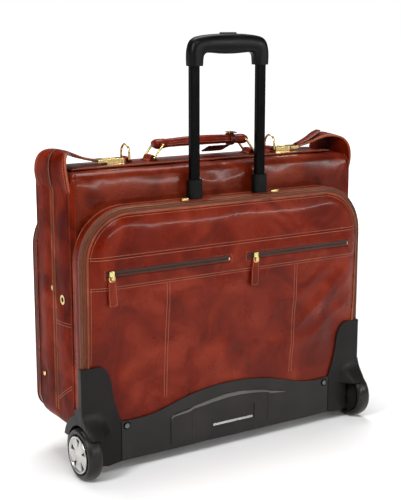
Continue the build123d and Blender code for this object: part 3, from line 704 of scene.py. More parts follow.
def panel_relief(point):
    x, y, z = point
    fade = smooth_step(8, 40, edge_distance(POCKET_OUTLINE, x, z)) * smooth_step(112, 150, z)
    fade *= 1 - smooth_step(195, 222, abs(x)) * (1 - smooth_step(185, 215, z))
    if BAND_LOW - 6 < z < BAND_HIGH + 6:
        fade *= 0.12
    value = 1.5 * softness((x, 0, z), 95, 3.1) + 0.8 * softness((x, 0, z), 42, 7.7)
    value += 0.25 * softness((x, 0, z), 17, 1.3)
    for start, end, width, height in PANEL_FOLDS:
        value += 1.5 * ridge(x, z, start, end, width, height)
    return value * fade


def seam_pinch(value, seam, width, depth):
    return -depth * math.exp(-((value - seam) / width) ** 2)


def shell_relief(point):
    x, y, z = point
    value = 1.0 * softness((x, y, z), 80, 5.2) + 0.5 * softness((x, y, z), 33, 2.4)
    if abs(x) < HALF_WIDTH - 8:
        value += seam_pinch(x, 3.0, 5.0, 1.4) * smooth_step(448, 470, z)
        value += ridge(x, z, (-60, 470), (-8, 452), 9, 1.3) + ridge(x, z, (62, 478), (12, 455), 8, 1.2)
        value += ridge(x, z, (20, 486), (30, 448), 5, 1.0) + ridge(x, z, (-230, 445), (-262, 480), 10, 1.0)
    mouth = smooth_step(1.0, 12.0, abs(y - SPLIT_Y))
    return value * mouth


# --- front and rear halves of the case ---

CASE_ROLL, CASE_WALL, SIDE_SWELL = 11.0, 4.0, 2.4
AXLE = (-79.0, 42.5)
WELL_RADIUS, WELL_X = 50.8, 256.0
# brass in the sides: (y, z, radius of the flange or dome)
GROMMET = (-19.0, 285.0, 8.0)
GROMMET_HOLE = 6.2
SIDE_BRASS = (GROMMET, (19.0, 297.0, 4.5), (59.0, 140.0, 4.0))


def round_the_wheel(point, thickness):
    """Leather keeps clear of the wheel wells."""
    x, y, z = point
    if abs(x) < WELL_X:
        return point
    dy, dz = y - AXLE[0], z - AXLE[1]
    reach = math.hypot(dy, dz)
    target = WELL_RADIUS + thickness
    if reach >= target or reach < 1e-6:
        return point
    return (x, AXLE[0] + dy * target / reach, AXLE[1] + dz * target / reach)


def round_the_brass(point, thickness):
    """Leather lies flat under the grommets, eyelets and studs in the two sides."""
    x, y, z = round_the_wheel(point, thickness)
    if abs(x) < HALF_WIDTH - 12:
        return (x, y, z)
    flat = HALF_WIDTH - 0.2 - thickness
    for brass_y, brass_z, radius in SIDE_BRASS:
        share = smooth_step(radius + 2.0, radius + 20.0, math.hypot(y - brass_y, z - brass_z))
        x = math.copysign(flat + (abs(x) - flat) * share, x)
    return (x, y, z)


def pierced(part, lining_from):
    """Round holes through both skins under the grommets, with their walls."""
    verts, faces = part
    half = len(verts) // 2
    centre_y, centre_z = GROMMET[:2]

    def under_flange(face):
        x, y, z = (sum(verts[i][axis] for i in face) / len(face) for axis in range(3))
        return abs(x) > HALF_WIDTH - 12 and math.hypot(y - centre_y, z - centre_z) < GROMMET_HOLE

    gone = {face for face in faces if under_flange(face)}
    edges = {(face[k], face[(k + 1) % len(face)]) for face in gone for k in range(len(face))}
    border = sorted((a, b) for a, b in edges if (b, a) not in edges and a < half)
    verts = list(verts)
    for index in {i for edge in border for i in edge}:
        for i in (index, index + half):
            x, y, z = verts[i]
            turn = math.atan2(z - centre_z, y - centre_y)
            verts[i] = (x, centre_y + GROMMET_HOLE * math.cos(turn), centre_z + GROMMET_HOLE * math.sin(turn))
    outside = [face for face in faces[:lining_from] if face not in gone]
    walls = [(a, b, b + half, a + half) for a, b in border]
    inside = [face for face in faces[lining_from:] if face not in gone]
    used = sorted({i for face in outside + walls + inside for i in face})
    number = {old: new for new, old in enumerate(used)}
    kept = [tuple(number[i] for i in face) for face in outside + walls + inside]
    return ([verts[i] for i in used], kept), len(outside) + len(walls)


def rolled(depth, roll, reach):
    """How far the face has fallen back at a distance inside its outline."""
    if depth >= roll:
        return 0.0
    return reach * (1 - math.sqrt(max(1 - ((roll - depth) / roll) ** 2, 0.0)))


def front_face(x, z, depth):
    lean = 6.0 * max((z - 444) / 47, 0.0) ** 2
    swell = -2.0 * smooth_step(0, 60, depth) * smooth_step(438, 456, z)
    return FRONT_Y + lean + swell + rolled(depth, CASE_ROLL, CASE_ROLL)


def matt_sides(piece):
    """Faces turned to the sides get a copy of the leather with its own colour and almost no shine, set for
    how light falls on the sides: painted light on the same hide.
    """
    piece.data.materials.append(SIDE_LEATHER)
    for polygon in piece.data.polygons:
        if polygon.material_index == 0 and abs(polygon.normal.x) > 0.5:
            polygon.material_index = len(piece.data.materials) - 1


def puffed(point, share):
    """The side gussets swell a little between the seams."""
    x, y, z = point
    upright = smooth_step(75, 140, z) * (1 - smooth_step(452, 486, z))
    out = SIDE_SWELL * math.sin(math.pi * min(share * 1.05, 1.0)) * upright
    if abs(x) > HALF_WIDTH - 6:
        x += math.copysign(out, x)
    return (x, y, z)


front_skin = skin(CASE_OUTLINE, front_face, SPLIT_Y - 0.2, CASE_ROLL, 7.0, 12, puffed)
part, inner = pierced(*walled(front_skin, -1, CASE_WALL, shell_relief, round_the_brass))
matt_sides(add("front_case", part, SHADED_LEATHER, "leather", "case", "front_shell", lining_from=inner))


def rear_face(x, z, depth):
    return REAR_Y - rolled(depth, CASE_ROLL, CASE_ROLL)


rear_skin = skin(CASE_OUTLINE, rear_face, SPLIT_Y + 0.8, CASE_ROLL, 7.0, 12, puffed)
part, inner = walled(rear_skin, 1, CASE_WALL, shell_relief, round_the_brass)
matt_sides(add("rear_case", part, SHADED_LEATHER, "leather", "lid", "rear_shell", lining_from=inner))

strip = box_part(-240, 240, -30, SPLIT_Y - 0.4, 57.4, 59.2, 0.5)
add("hinge_leather", strip, DARK_LEATHER, "leather", "case", "hinge_strip")

# main zip over the sides and top of the case: tape and teeth on each half, and piped lips that hide it
ZIP_END = 92.0
for body, direction in (("case", -1), ("lid", 1)):
    edge_y = SPLIT_Y + 0.3
    near, far = edge_y + 0.35 * direction, edge_y + 4.0 * direction
    tape = ring_part(CASE_OUTLINE, [(-0.4, near), (-0.4, far), (1.2, far), (1.2, near)], ZIP_END)
    add(f"case_zip_tape_{body}", tape, TAPE, "zip_tape", body)
    path = [(x, edge_y + 0.75 * direction, z) for x, z in loop_points(CASE_OUTLINE, -0.9, ZIP_END)]
    add(f"case_zip_teeth_{body}", teeth_part(path, (0, 0.28, 0), (1.6, 1.2, 1.0)), TEETH, "brass", body)
    lip = ring_part(CASE_OUTLINE, round_section(-0.3, edge_y + 4.6 * direction, 1.5), ZIP_END)
    add(f"case_zip_lip_{body}", lip, PIPING, "leather", body)

# doubled piping at the front edge of the case, and a single one at the back
pipes = []
for sign in (-1, 1):
    for x, y, top in ((273.0, FRONT_Y + 1.2, 481.0), (279.4, FRONT_Y + 8.0, 478.0)):
        run = [(sign * x, y, 96.0), (sign * x, y, 250.0), (sign * x, y - 0.5, 400.0),
               (sign * x, y + 0.2, top - 12), (sign * (x - 1.5), y + 2.5, top),
               (sign * (x - 5.0), y + 8.0, top + 8.5)]
        pipes.append(cord_along(smooth_path(run, 70), 1.5, up=(0, 1, 0)))
add("case_front_piping", join_lists(pipes), SHADED_LEATHER, "leather", "case")
add("case_rear_piping", ring_part(CASE_OUTLINE, round_section(2.2, REAR_Y - 4.2, 1.7)), DARK_LEATHER,
    "leather", "lid")

# --- front pocket ---

PIPE_INSET = 10.5
CUSHION = 46.0


# (z, y) up the middle of the front panel
PANEL_PROFILE = [(59, -84.3), (112, -84.4), (150, -86.2), (190, -88.6), (240, -92.4),
                 (300, -96.5), (372, -96.5), (408, -94.5), (438, -89.5)]


def panel_face(x, z):
    """The middle of the front panel, without its edge."""
    full = through(PANEL_PROFILE, z)
    held = smooth_step(196, 226, abs(x)) * (1 - smooth_step(178, 222, z))
    return full * (1 - held) - 84.3 * held


def panel_y(x, z, depth=None):
    if depth is None:
        depth = max(edge_distance(POCKET_OUTLINE, x, z), 0.0)
    face = panel_face(x, z)
    fall = (ZIP_Y - 0.6) - face
    if depth >= CUSHION:
        return face
    if depth >= PIPE_INSET:
        share = (CUSHION - depth) / (CUSHION - PIPE_INSET)
        return face + 0.70 * fall * share ** 2.6
    share = 1 - depth / PIPE_INSET
    return face + fall * (0.70 + 0.30 * share ** 1.4)


def flexes(piece):
    """Bake the piece's placement into its mesh."""
    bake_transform(piece)
    return piece


panel_skin = skin(POCKET_OUTLINE, panel_y, ZIP_Y - 0.6, PIPE_INSET, 5.0, 0)
part, inner = walled(panel_skin, -1, 1.8, panel_relief, round_the_wheel)
front_panel = flexes(build("front_panel", part, LEATHER, lining_from=inner))
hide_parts("front_flap", "front_pocket_base")

PIPE_LOW = 120.0
panel_pipe = ring_part(POCKET_OUTLINE, round_section(PIPE_INSET, -0.9, 1.75), PIPE_LOW, panel_y)
flexes(build("panel_piping", panel_pipe, PIPING))
tape_section = [(8.0, -0.5), (5.0, -0.9), (1.5, -0.9), (-0.5, -0.4), (-0.5, 0.6), (8.0, 0.6)]
flexes(build("flap_zip_tape", ring_part(POCKET_OUTLINE, tape_section, PIPE_LOW, panel_y), TAPE))
coil = [ring_part(POCKET_OUTLINE, round_section(inside, -1.1, 0.65, 6), PIPE_LOW, panel_y)
        for inside in (1.6, 4.2)]
flexes(build("flap_zip_coil", join_lists(coil), TEETH))
path = [(x, ZIP_Y - 0.75, z) for x, z in loop_points(POCKET_OUTLINE, -0.7, PIPE_LOW)]
flexes(build("flap_zip_teeth", teeth_part(path, (0, 0.25, 0), (1.6, 1.1, 0.9)), TEETH))

GUSSET_Y = ZIP_Y + 6.2
gusset_section = [(0.2, FRONT_Y + 1.0), (-0.5, (FRONT_Y + GUSSET_Y) / 2), (0.0, GUSSET_Y + 0.9),
                  (0.7, GUSSET_Y), (2.5, GUSSET_Y), (2.6, FRONT_Y + 1.0)]


def off_the_wheel(part, thickness=0.0):
    verts, faces = part
    return [round_the_wheel(point, thickness) for point in verts], faces


def round_the_collars(part):
    """The top of the gusset dips under the collars of the trolley tubes."""
    moved = []
    for x, y, z in part[0]:
        if z > 400:
            near = 1 - smooth_step(13.0, 17.0, abs(abs(x) - 65.0))
            y = max(y, -59.6) if near > 0.5 else y
        moved.append((x, y, z))
    return moved, part[1]


gusset = add("front_gusset", round_the_collars(off_the_wheel(ring_part(POCKET_OUTLINE, gusset_section))),
             LEATHER, "leather", "case")

# facing inside the two sides of the front pocket, over the rounded corner of the case
facing_section = [(2.7, GUSSET_Y + 1.0), (2.7, FRONT_Y + 7.0), (4.0, FRONT_Y + 7.0), (4.0, GUSSET_Y + 1.0)]
facing_verts, facing_faces = ring_part(POCKET_OUTLINE, facing_section, PIPE_LOW)
facing_faces = [face for face in facing_faces if min(abs(facing_verts[i][0]) for i in face) > 150]
add("pocket_facing", (facing_verts, facing_faces), DARK_LEATHER, "leather", "case")
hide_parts("front_pocket_gusset")
tape_section = [(0.3, ZIP_Y + 0.1), (0.0, ZIP_Y + 6.6), (2.4, ZIP_Y + 6.6), (1.6, ZIP_Y + 0.1)]
CASE_TAPE_LOW = 95.0
case_tape = ring_part(POCKET_OUTLINE, tape_section, CASE_TAPE_LOW)
add("pocket_zip_tape_case", case_tape, TAPE, "zip_tape", "case")
path = [(x, ZIP_Y + 0.55, z) for x, z in loop_points(POCKET_OUTLINE, -0.4, CASE_TAPE_LOW)]
add("pocket_zip_teeth_case", teeth_part(path, (0, 0.25, 0), (1.6, 1.1, 0.9)), TEETH, "brass", "case")
gusset_pipe = ring_part(POCKET_OUTLINE, round_section(0.3, FRONT_Y - 1.6, 1.3), 96.0)
add("gusset_piping", gusset_pipe, PIPING, "leather", "case")

# --- welt band and the two zipped pockets in the flap ---

BAND_HALF = 268.5


def band_y(x, z):
    return panel_y(x, z) - 1.5


def in_zip(x, z, grow=0.0):
    """How far a point lies inside a pocket zip's window."""
    best = -99.0
    for x0, x1 in POCKET_ZIPS:
        best = max(best, min(x - x0, x1 - x, 5.0 - abs(z - POCKET_ZIP_Z)) + grow)
    return best


# rows lie close together at the band's edges and at the zip's window
band_rows = [BAND_LOW + 0.01, BAND_LOW + 0.8, BAND_LOW + 2.4, 318.5, 324, 328.5, 330.2, 331.0, 331.6, 336,
             340.4, 341.0, 341.8, 343.5, 348, 354, BAND_HIGH - 2.4, BAND_HIGH - 0.8, BAND_HIGH - 0.01]
window_edges = [edge + shift for pair in POCKET_ZIPS for edge in pair for shift in (-0.8, 0.0, 0.8)]
even_columns = [round(-BAND_HALF + 2 * BAND_HALF * i / 110, 1) for i in range(111)]
band_columns = sorted(set(even_columns + window_edges))
verts = []
for z in band_rows:
    for x in band_columns:
        rim = min(z - BAND_LOW, BAND_HIGH - z, BAND_HALF - abs(x))
        lift = 1.5 * smooth_step(-0.4, 1.6, rim) + 0.35 * smooth_step(1.0, 0.0, abs(z - POCKET_ZIP_Z) / 16)
        window = in_zip(x, z)
        lift -= 1.7 * smooth_step(-0.8, 0.5, window)
        lift += 0.5 * math.exp(-((window + 2.4) / 1.5) ** 2)
        wave = 0.3 * softness((x, 0, z), 30, 9.1) * (1 - smooth_step(-3.0, -0.5, window))
        verts.append((x, panel_y(x, z) - lift - wave * smooth_step(0, 5, rim), z))
count = len(verts)
front_faces = grid_faces(len(band_rows), len(band_columns))
loop = grid_rim(len(band_rows), len(band_columns))
edge_faces = [(a, count + a, count + b, b) for a, b in zip(loop, loop[1:] + loop[:1])]
back = [(x, panel_y(x, z) + 0.9, z) for x, y, z in verts]
faces = front_faces + edge_faces + [tuple(count + i for i in reversed(face)) for face in front_faces]
add("welt_band_leather", (verts + back, faces), LEATHER, "leather", "flap", "welt_band")

tapes, teeth, stops = [], [], []
for x0, x1 in POCKET_ZIPS:
    for sign in (-1, 1):
        z0, z1 = sorted((POCKET_ZIP_Z + 0.5 * sign, POCKET_ZIP_Z + 4.9 * sign))
        tapes.append(box_part(x0 + 0.4, x1 - 0.4, -97.55, -96.6, z0, z1, 0.25))
        row_z = POCKET_ZIP_Z + 0.55 * sign
        row = [(x0 + 2, -97.9, row_z), (x1 - 2, -97.9, row_z)]
        teeth.append(teeth_part(row, (0, 0, 0.3), (1.5, 2.0, 0.9)))
    stops.append(box_part(x1 - 3.2, x1 - 1.0, -98.6, -97.3, POCKET_ZIP_Z - 2.4, POCKET_ZIP_Z + 2.4, 0.4))
add("pocket_zip_tapes", join_lists(tapes), POCKET_TAPE, "zip_tape", "flap", "pocket_zips")
add("pocket_zip_teeth", join_lists(teeth), POCKET_TEETH, "brass", "flap")
add("pocket_zip_stops", join_lists(stops), BRASS, "brass", "flap")


def leather_pull(length, width, thickness, top_width=None):
    """A stitched leather zip pull, hanging down from the origin, its back at y = 0. Leather, then thread."""
    top_width = top_width or width * 0.8
    grid = []
    rows, cols = 15, 7
    for i in range(rows):
        share = i / (rows - 1)
        z = -length * share
        half = top_width / 2 + (width - top_width) / 2 * smooth_step(0.0, 0.5, share)
        end = min(share, 1 - share) * length
        if end < 2.5:
            half *= 0.80 + 0.20 * math.sqrt(max(1 - ((2.5 - end) / 2.5) ** 2, 0.0))
        row = []
        for j in range(cols):
            t = 2 * j / (cols - 1) - 1
            row.append((t * half, -thickness * (0.5 + 0.14 * (1 - t * t)), z))
        grid.append(row)
    leather_mesh = sheet_part(grid, thickness)
    side = width / 2 - 1.5
    top_side = top_width / 2 - 1.2
    run = [(-top_side, -length * 0.08), (-side, -length * 0.5), (-side, -length + 2.4), (side, -length + 2.4),
           (side, -length * 0.5), (top_side, -length * 0.08)]
    thread = stitches([(x, -thickness * 1.06, z) for x, z in run], 2.9, 2.0, 0.28, 0.3)
    return leather_mesh, thread


def placed(part, matrix):
    verts, faces = part
    return [tuple(matrix @ Vector(v)) for v in verts], faces


def wire_loop(width, height, radius):
    """A rounded wire loop in the XZ plane, hanging from the origin."""
    path = [(width / 2 * u, 0.0, height / 2 * (v - 1)) for u, v in squared_circle(28, 0.7)]
    return cord_along(path, radius, closed=True, sides=8, up=(0, 1, 0))


for side, x in PULL_X.items():
    body = f"pull_{side}"
    hang = Matrix.Translation((x, -100.1, 331.2)) @ rotation(-2.5 if side == "left" else 3.0, "Y")
    pull, thread = leather_pull(47.5, 15.4, 2.4)
    add(f"pocket_pull_leather_{side}", placed(pull, hang), LEATHER, "leather", body, f"pocket_pull_{side}")
    add(f"pocket_pull_thread_{side}", placed(thread, hang), THREAD, "leather", body)
    tab = join_lists([box_part(-2.6, 2.6, -3.4, 0.4, -7.0, -1.0, 0.8), wire_loop(9.5, 9.5, 0.95)])
    ring = placed(tab, Matrix.Translation((x, -102.4, 335.0)))
    add(f"pocket_pull_ring_{side}", ring, BRASS, "brass", body)

for side, sign in (("left", -1), ("right", 1)):
    lie = Matrix.Translation((sign * 98.6, ZIP_Y, 439.2)) @ rotation(90 * sign, "Z") @ rotation(90, "X")
    pull, thread = leather_pull(58.0, 11.5, 2.3)
    flat_pull = placed(pull, lie)
    add(f"main_pull_leather_{side}", flat_pull, SHADED_LEATHER, "leather", f"zip_pull_{side}",
        f"main_pull_{side}")
    add(f"main_pull_thread_{side}", placed(thread, lie), THREAD, "leather", f"zip_pull_{side}")
    stand = Matrix.Translation((sign * 92.4, ZIP_Y, 441.6)) @ rotation(90 * sign, "Z") @ rotation(80, "X")
    loop = placed(wire_loop(8.0, 9.0, 0.9), stand)
    add(f"main_pull_ring_{side}", loop, BRASS, "brass", f"zip_pull_{side}")

# --- stitched seams on the panel ---

panel_seams = []
for z in (BAND_HIGH - 1.6, BAND_LOW + 1.6, BAND_HIGH + 2.6, BAND_LOW - 2.6):
    proud = 1.55 if BAND_LOW < z < BAND_HIGH else 0.1
    path = [(x, panel_y(x, z) - proud, z) for x in range(-266, 267, 4)]
    panel_seams.append(stitches(path))
for x0, x1 in POCKET_ZIPS:
    frame_path = [(x0 - 3, 328.6), (x1 + 3, 328.6), (x1 + 3, 343.6), (x0 - 3, 343.6), (x0 - 3, 328.6)]
    panel_seams.append(stitches([(x, band_y(x, z) - 0.35, z) for x, z in frame_path], 3.6, 2.4, 0.34))
add("band_stitching", join_lists(panel_seams), THREAD, "leather", "flap")

upright = []
for x in (-131.5, -126.5, 126.5, 131.5):
    path = [(x, panel_y(x, z) - 0.12 - panel_relief((x, 0, z)), z) for z in range(112, 312, 3)]
    upright.append(stitches(path, out=(0, -1, 0)))
flexes(build("panel_stitching", join_lists(upright), THREAD))
edge_path = [(x, panel_y(x, z) - 0.1, z) for x, z in loop_points(POCKET_OUTLINE, PIPE_INSET + 4.6, 190.0, 2)]
flexes(build("panel_edge_stitching", stitches(edge_path), THREAD))

# --- stitching on the sides and the upper front ---

side_seams = []
for sign in (-1, 1):
    for (y0, z0), (y1, z1) in (((5, 242), (-46, 245)), ((5, 110), (-46, 142))):
        for gap in (0.0, 4.6):
            points = []
            for i in range(14):
                share = i / 13
                y = y0 + (y1 - y0) * share
                across = (y - FRONT_Y - CASE_ROLL) / (SPLIT_Y - FRONT_Y - CASE_ROLL)
                bulge = SIDE_SWELL * math.sin(math.pi * min(across * 1.05, 1.0))
                z = z0 + (z1 - z0) * share + gap
                surface = shell_relief((sign * HALF_WIDTH, y, z))
                points.append((sign * (HALF_WIDTH + bulge + surface + 0.1), y, z))
            side_seams.append(stitches(points, out=(sign, 0, 0)))
add("side_stitching", join_lists(side_seams), THREAD, "leather", "case")

# --- rear pocket, on the lid ---

REAR_EDGE, REAR_ZIP_LOW = 14.0, 110.0
# (z, y) up the middle of the rear pocket
REAR_PROFILE = [(67, 99), (100, 106), (150, 114), (210, 119), (270, 121.0), (330, 119.5),
                (390, 115), (438, 105)]


def rear_panel_y(x, z, depth):
    full = through(REAR_PROFILE, z)
    full -= 3.0 * (abs(x) / HALF_WIDTH) ** 4
    if depth < REAR_EDGE:
        share = 1 - depth / REAR_EDGE
        full -= (full - 93.5) * share ** 1.8
    elif depth < 50:
        full -= 1.5 * ((50 - depth) / (50 - REAR_EDGE)) ** 2 * 0.2
    return full


def rear_relief(point):
    x, y, z = point
    value = 1.5 * softness((x, 0, z), 85, 4.4) + 0.7 * softness((x, 0, z), 36, 8.8)
    for start, end, width, height in PANEL_FOLDS[:6]:
        value += 0.7 * ridge(-x, z - 10, start, end, width, height)
    return value * smooth_step(0, 24, edge_distance(REAR_OUTLINE, x, z))


pocket_skin = skin(REAR_OUTLINE, rear_panel_y, REAR_Y - 0.5, REAR_EDGE, 7.0, 4)
part, inner = walled(pocket_skin, 1, 2.2, rear_relief)
add("rear_pocket_leather", part, LEATHER, "leather", "lid", "rear_pocket", lining_from=inner)
pipe = ring_part(REAR_OUTLINE, round_section(0.2, 93.0, 1.7))
add("rear_pocket_piping", pipe, DARK_LEATHER, "leather", "lid")
tape = ring_part(REAR_OUTLINE, [(-0.5, 84.5), (-0.5, 91.0), (0.8, 91.0), (0.8, 84.5)], REAR_ZIP_LOW)
add("rear_zip_tape", tape, TAPE, "zip_tape", "lid")
path = [(x, 87.8, z) for x, z in loop_points(REAR_OUTLINE, -1.0, REAR_ZIP_LOW)]
add("rear_zip_teeth", teeth_part(path, (0, 0.5, 0), (1.6, 1.4, 0.9)), TEETH, "brass", "lid")
rear_seams = []
for x in (-131.5, -126.5, 126.5, 131.5):
    path = [(x, rear_panel_y(x, z, 100) + 0.15 + rear_relief((x, 0, z)), z) for z in range(96, 405, 3)]
    rear_seams.append(stitches(path, out=(0, 1, 0)))
inset_loop = loop_points(REAR_OUTLINE, REAR_EDGE + 5, REAR_ZIP_LOW, 2)
edge = [(x, rear_panel_y(x, z, REAR_EDGE + 5) + 0.15, z) for x, z in inset_loop]
rear_seams.append(stitches(edge, out=(0, 1, 0)))
add("rear_stitching", join_lists(rear_seams), THREAD, "leather", "lid")

# --- leather strip over the split, with the bases of the fittings ---

STRIP_HALF, STRIP_FRONT, STRIP_REAR = 262.0, -22.0, 42.0


def strip_z(x, y):
    across = (y - (STRIP_FRONT + STRIP_REAR) / 2) / ((STRIP_REAR - STRIP_FRONT) / 2)
    crown = 494.6 - 1.5 * across ** 2 + 0.35 * softness((x, y, 0), 40, 6.6)
    return crown - 0.8 * smooth_step(246, 262, abs(x))


grid = []
for i in range(107):
    x = -STRIP_HALF + 2 * STRIP_HALF * i / 106
    grid.append([(x, STRIP_FRONT + (STRIP_REAR - STRIP_FRONT) * j / 16, 0.0) for j in range(17)])
grid = [[(x, y, strip_z(x, y)) for x, y, z in row] for row in grid]
add("top_strip_leather", sheet_part(grid, 2.6), SHADED_LEATHER, "leather", "case", "top_strip")
strip_seams = []
for y in (STRIP_FRONT + 2.2, STRIP_REAR - 2.2):
    strip_seams.append(stitches([(x, y, strip_z(x, y) + 1.4) for x in range(-258, 259, 4)], out=(0, 0, 1)))
add("top_strip_stitching", join_lists(strip_seams), THREAD, "leather", "case")


def fitting_base(x, half_x, half_y, loop_radius, loop_z, name, node_name):
    """Leather tab folded round a wire: a stitched base and a raised tube with the wire inside."""
    parts, thread = [], []
    for sign in (-1, 1):
        grid = []
        for i in range(15):
            u = 2 * i / 14 - 1
            px = sign * x + u * half_x
            rise = math.sqrt(max(loop_radius ** 2 - (u * half_x) ** 2, 0.0))
            top = max(loop_z + rise if abs(u * half_x) < loop_radius else 0.0,
                      STRIP_TOP + 0.9 + 3.2 * math.exp(-((abs(u * half_x) - loop_radius) / 2.2) ** 2))
            row = []
            for j in range(9):
                v = 2 * j / 8 - 1
                narrow = 1 - 0.10 * abs(u) ** 3
                row.append((px, SPLIT_Y + v * half_y * narrow, top - 0.7 * v * v))
            grid.append(row)
        parts.append(sheet_part(grid, 1.7))
        run = []
        for u, v in ((-0.86, -0.8), (-0.86, 0.8)):
            run.append((sign * x + u * half_x, SPLIT_Y + v * half_y, STRIP_TOP + 2.1))
        thread.append(stitches(run, 3.2, 2.2, 0.34, out=(0, 0, 1)))
        thread.append(stitches([(2 * sign * x - a, b, c) for a, b, c in run], 3.2, 2.2, 0.34, out=(0, 0, 1)))
    add(name, join_lists(parts), LEATHER, "leather", "case", node_name)
    add(f"{name}_thread", join_lists(thread), THREAD, "leather", "case")


fitting_base(101.0, 11.5, 12.6, 4.4, 500.4, "handle_chape_leather", "handle_chapes")
fitting_base(147.0, 9.5, 10.4, 4.3, 500.5, "d_ring_tab_leather", "d_ring_tabs")

# --- corner ears and their straps ---

# (x, z) of the left ear and strap from the side up and over, and where their two edges run, in y
EAR_PATH = [(-275.5, 446), (-279.5, 466), (-282.6, 484), (-283.0, 501), (-279.6, 514.0), (-271.5, 521.2),
            (-261.0, 521.6), (-247.0, 516.6), (-233.0, 510.8), (-218.0, 505.6), (-206.0, 502.2),
            (-196.5, 500.9)]
EAR_FRONT = [-48.0, -50.5, -51.0, -47.0, -39.0, -28.0, -16.0, -5.5, -0.5, 1.8, 2.6, 2.8]
EAR_REAR = [68.0, 70.5, 70.0, 64.0, 56.0, 47.0, 39.0, 31.0, 24.5, 21.2, 19.6, 19.4]


def ear_grid(sign):
    stations = [(*place, front, rear) for place, front, rear in zip(EAR_PATH, EAR_FRONT, EAR_REAR)]
    rows = smooth_path(stations, 64)
    grid = []
    for i, (x, z, front, rear) in enumerate(rows):
        share = i / (len(rows) - 1)
        row = []
        for j in range(33):
            v = j / 32
            y = front + (rear - front) * v
            wave = 1.5 * softness((x * 1.2, y, z), 30, 12.3 + sign)
            wave *= math.sin(math.pi * min(share * 1.3, 1.0))
            sag = 3.2 * math.sin(math.pi * v) * smooth_step(0.45, 0.7, share)
            sag *= 1 - smooth_step(0.75, 0.95, share)
            curl = 2.2 * (2 * v - 1) ** 4 * smooth_step(0.25, 0.5, share) * (1 - smooth_step(0.7, 0.9, share))
            px = x + 0.7 * wave * (1 - smooth_step(0.35, 0.6, share))
            row.append((-sign * px, y, z + wave * smooth_step(0.3, 0.6, share) - sag * 0.5 - curl))
        grid.append(row)
    return grid


for side, sign in (("left", -1), ("right", 1)):
    body = f"strap_{side}"

    def lifts(piece):
        """Bake the piece's placement into its mesh."""
        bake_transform(piece)
        return piece

    grid = ear_grid(sign)
    ear = build(f"ear_leather_{side}", sheet_part(grid, 3.4), SHADED_LEATHER)
    matt_sides(ear)
    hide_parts("ears", f"ear_strap_{side}")
    lifts(ear)
    # Both ear edges are piped in the lighter piping leather; along the front edge its colour also stands in
    # for a pink sheen, a painted highlight.
    edges = [cord_along([row[0] for row in grid], 1.9), cord_along([row[-1] for row in grid], 1.9)]
    lifts(build(f"ear_piping_{side}", join_lists(edges), PIPING))
    thread = []
    for column in (2, -3):
        run = [row[column] for row in grid[2:-3]]
        lifted = []
        for (x, y, z), following in zip(run, run[1:]):
            along = (Vector(following) - Vector((x, y, z))).normalized()
            out = along.cross(Vector((0, 1, 0))) * (-sign)
            out = out if out.z > -0.2 else -out
            lifted.append(tuple(Vector((x, y, z)) + out * 1.85))
        thread.append(stitches(lifted, sink=0.3, out=(sign * 0.6, 0, 0.8)))
    lifts(build(f"ear_stitching_{side}", join_lists(thread), THREAD))
    zip_run = []
    for row in grid[:34]:
        x, y, z = row[14]
        zip_run.append((x + sign * 1.7, SPLIT_Y, z + 0.6))
    zip_strip = swept(zip_run, lambda i, share: [(-2.8, -0.5), (2.8, -0.5), (2.4, 0.7), (-2.4, 0.7)],
                      up=(sign * 1.0, 0.0, 0.35))
    lifts(build(f"ear_zip_{side}", zip_strip, TAPE))
    ridge_runs = [cord_along([(x + sign * 0.9, y + shift, z + 0.4) for x, y, z in zip_run], 0.9)
                  for shift in (-3.4, 3.4)]
    lifts(build(f"ear_zip_lips_{side}", join_lists(ridge_runs), DARK_LEATHER))

# the free end of the right strap, folded back over the clip's bar and standing a little off the strap
tip = []
for i in range(16):
    share = i / 15
    x = 207.0 + 50.0 * share
    half = 8.4 * (1 + 0.25 * share) * (1 - 0.35 * smooth_step(0.86, 1.0, share))
    z = through([(-px, pz) for px, pz in reversed(EAR_PATH)][0:8], x) + 3.2 + 4.6 * share ** 2
    tip.append([(x, SPLIT_Y + half * (2 * j / 6 - 1), z - 0.5 * abs(2 * j / 6 - 1)) for j in range(7)])
add("strap_tip_right", sheet_part(tip, 2.4), SHADED_LEATHER, "leather", "strap_right")

# --- carry handle ---

# (x, half depth, half height) from the left end to the middle; the right half is the same
HANDLE_SECTIONS = [(-93.5, 9.0, 3.0), (-92.0, 11.2, 6.0), (-88.0, 12.3, 8.2), (-82.0, 12.4, 8.6),
                   (-75.0, 11.3, 8.0), (-68.0, 9.2, 7.3), (-60.0, 8.6, 7.4), (-30.0, 8.9, 8.0),
                   (0.0, 9.0, 8.2)]
right_sections = [(-x, half_y, half_z) for x, half_y, half_z in reversed(HANDLE_SECTIONS[:-1])]
rows = smooth_path(HANDLE_SECTIONS + right_sections, 90)


def handle_bow(x):
    return 2.2 * (1 - (x / 84.0) ** 2) if abs(x) < 84 else 0.0


def handle_ring_section(i, share):
    x, half_y, half_z = rows[i]
    ring = []
    for k in range(28):
        angle = 2 * math.pi * k / 28
        c, s = math.cos(angle), math.sin(angle)
        seam = 1.0
        for off_seam in (angle - math.pi, min(angle, 2 * math.pi - angle)):
            seam -= 0.05 * math.exp(-(off_seam / 0.16) ** 2)
        wrinkle = 0.22 * softness((x * 1.6, 12 * c, 12 * s), 7, 2.0)
        ring.append(((half_y * seam + wrinkle) * squared(c, 0.9),
                     (half_z * seam + wrinkle) * squared(s, 0.9)))
    return ring


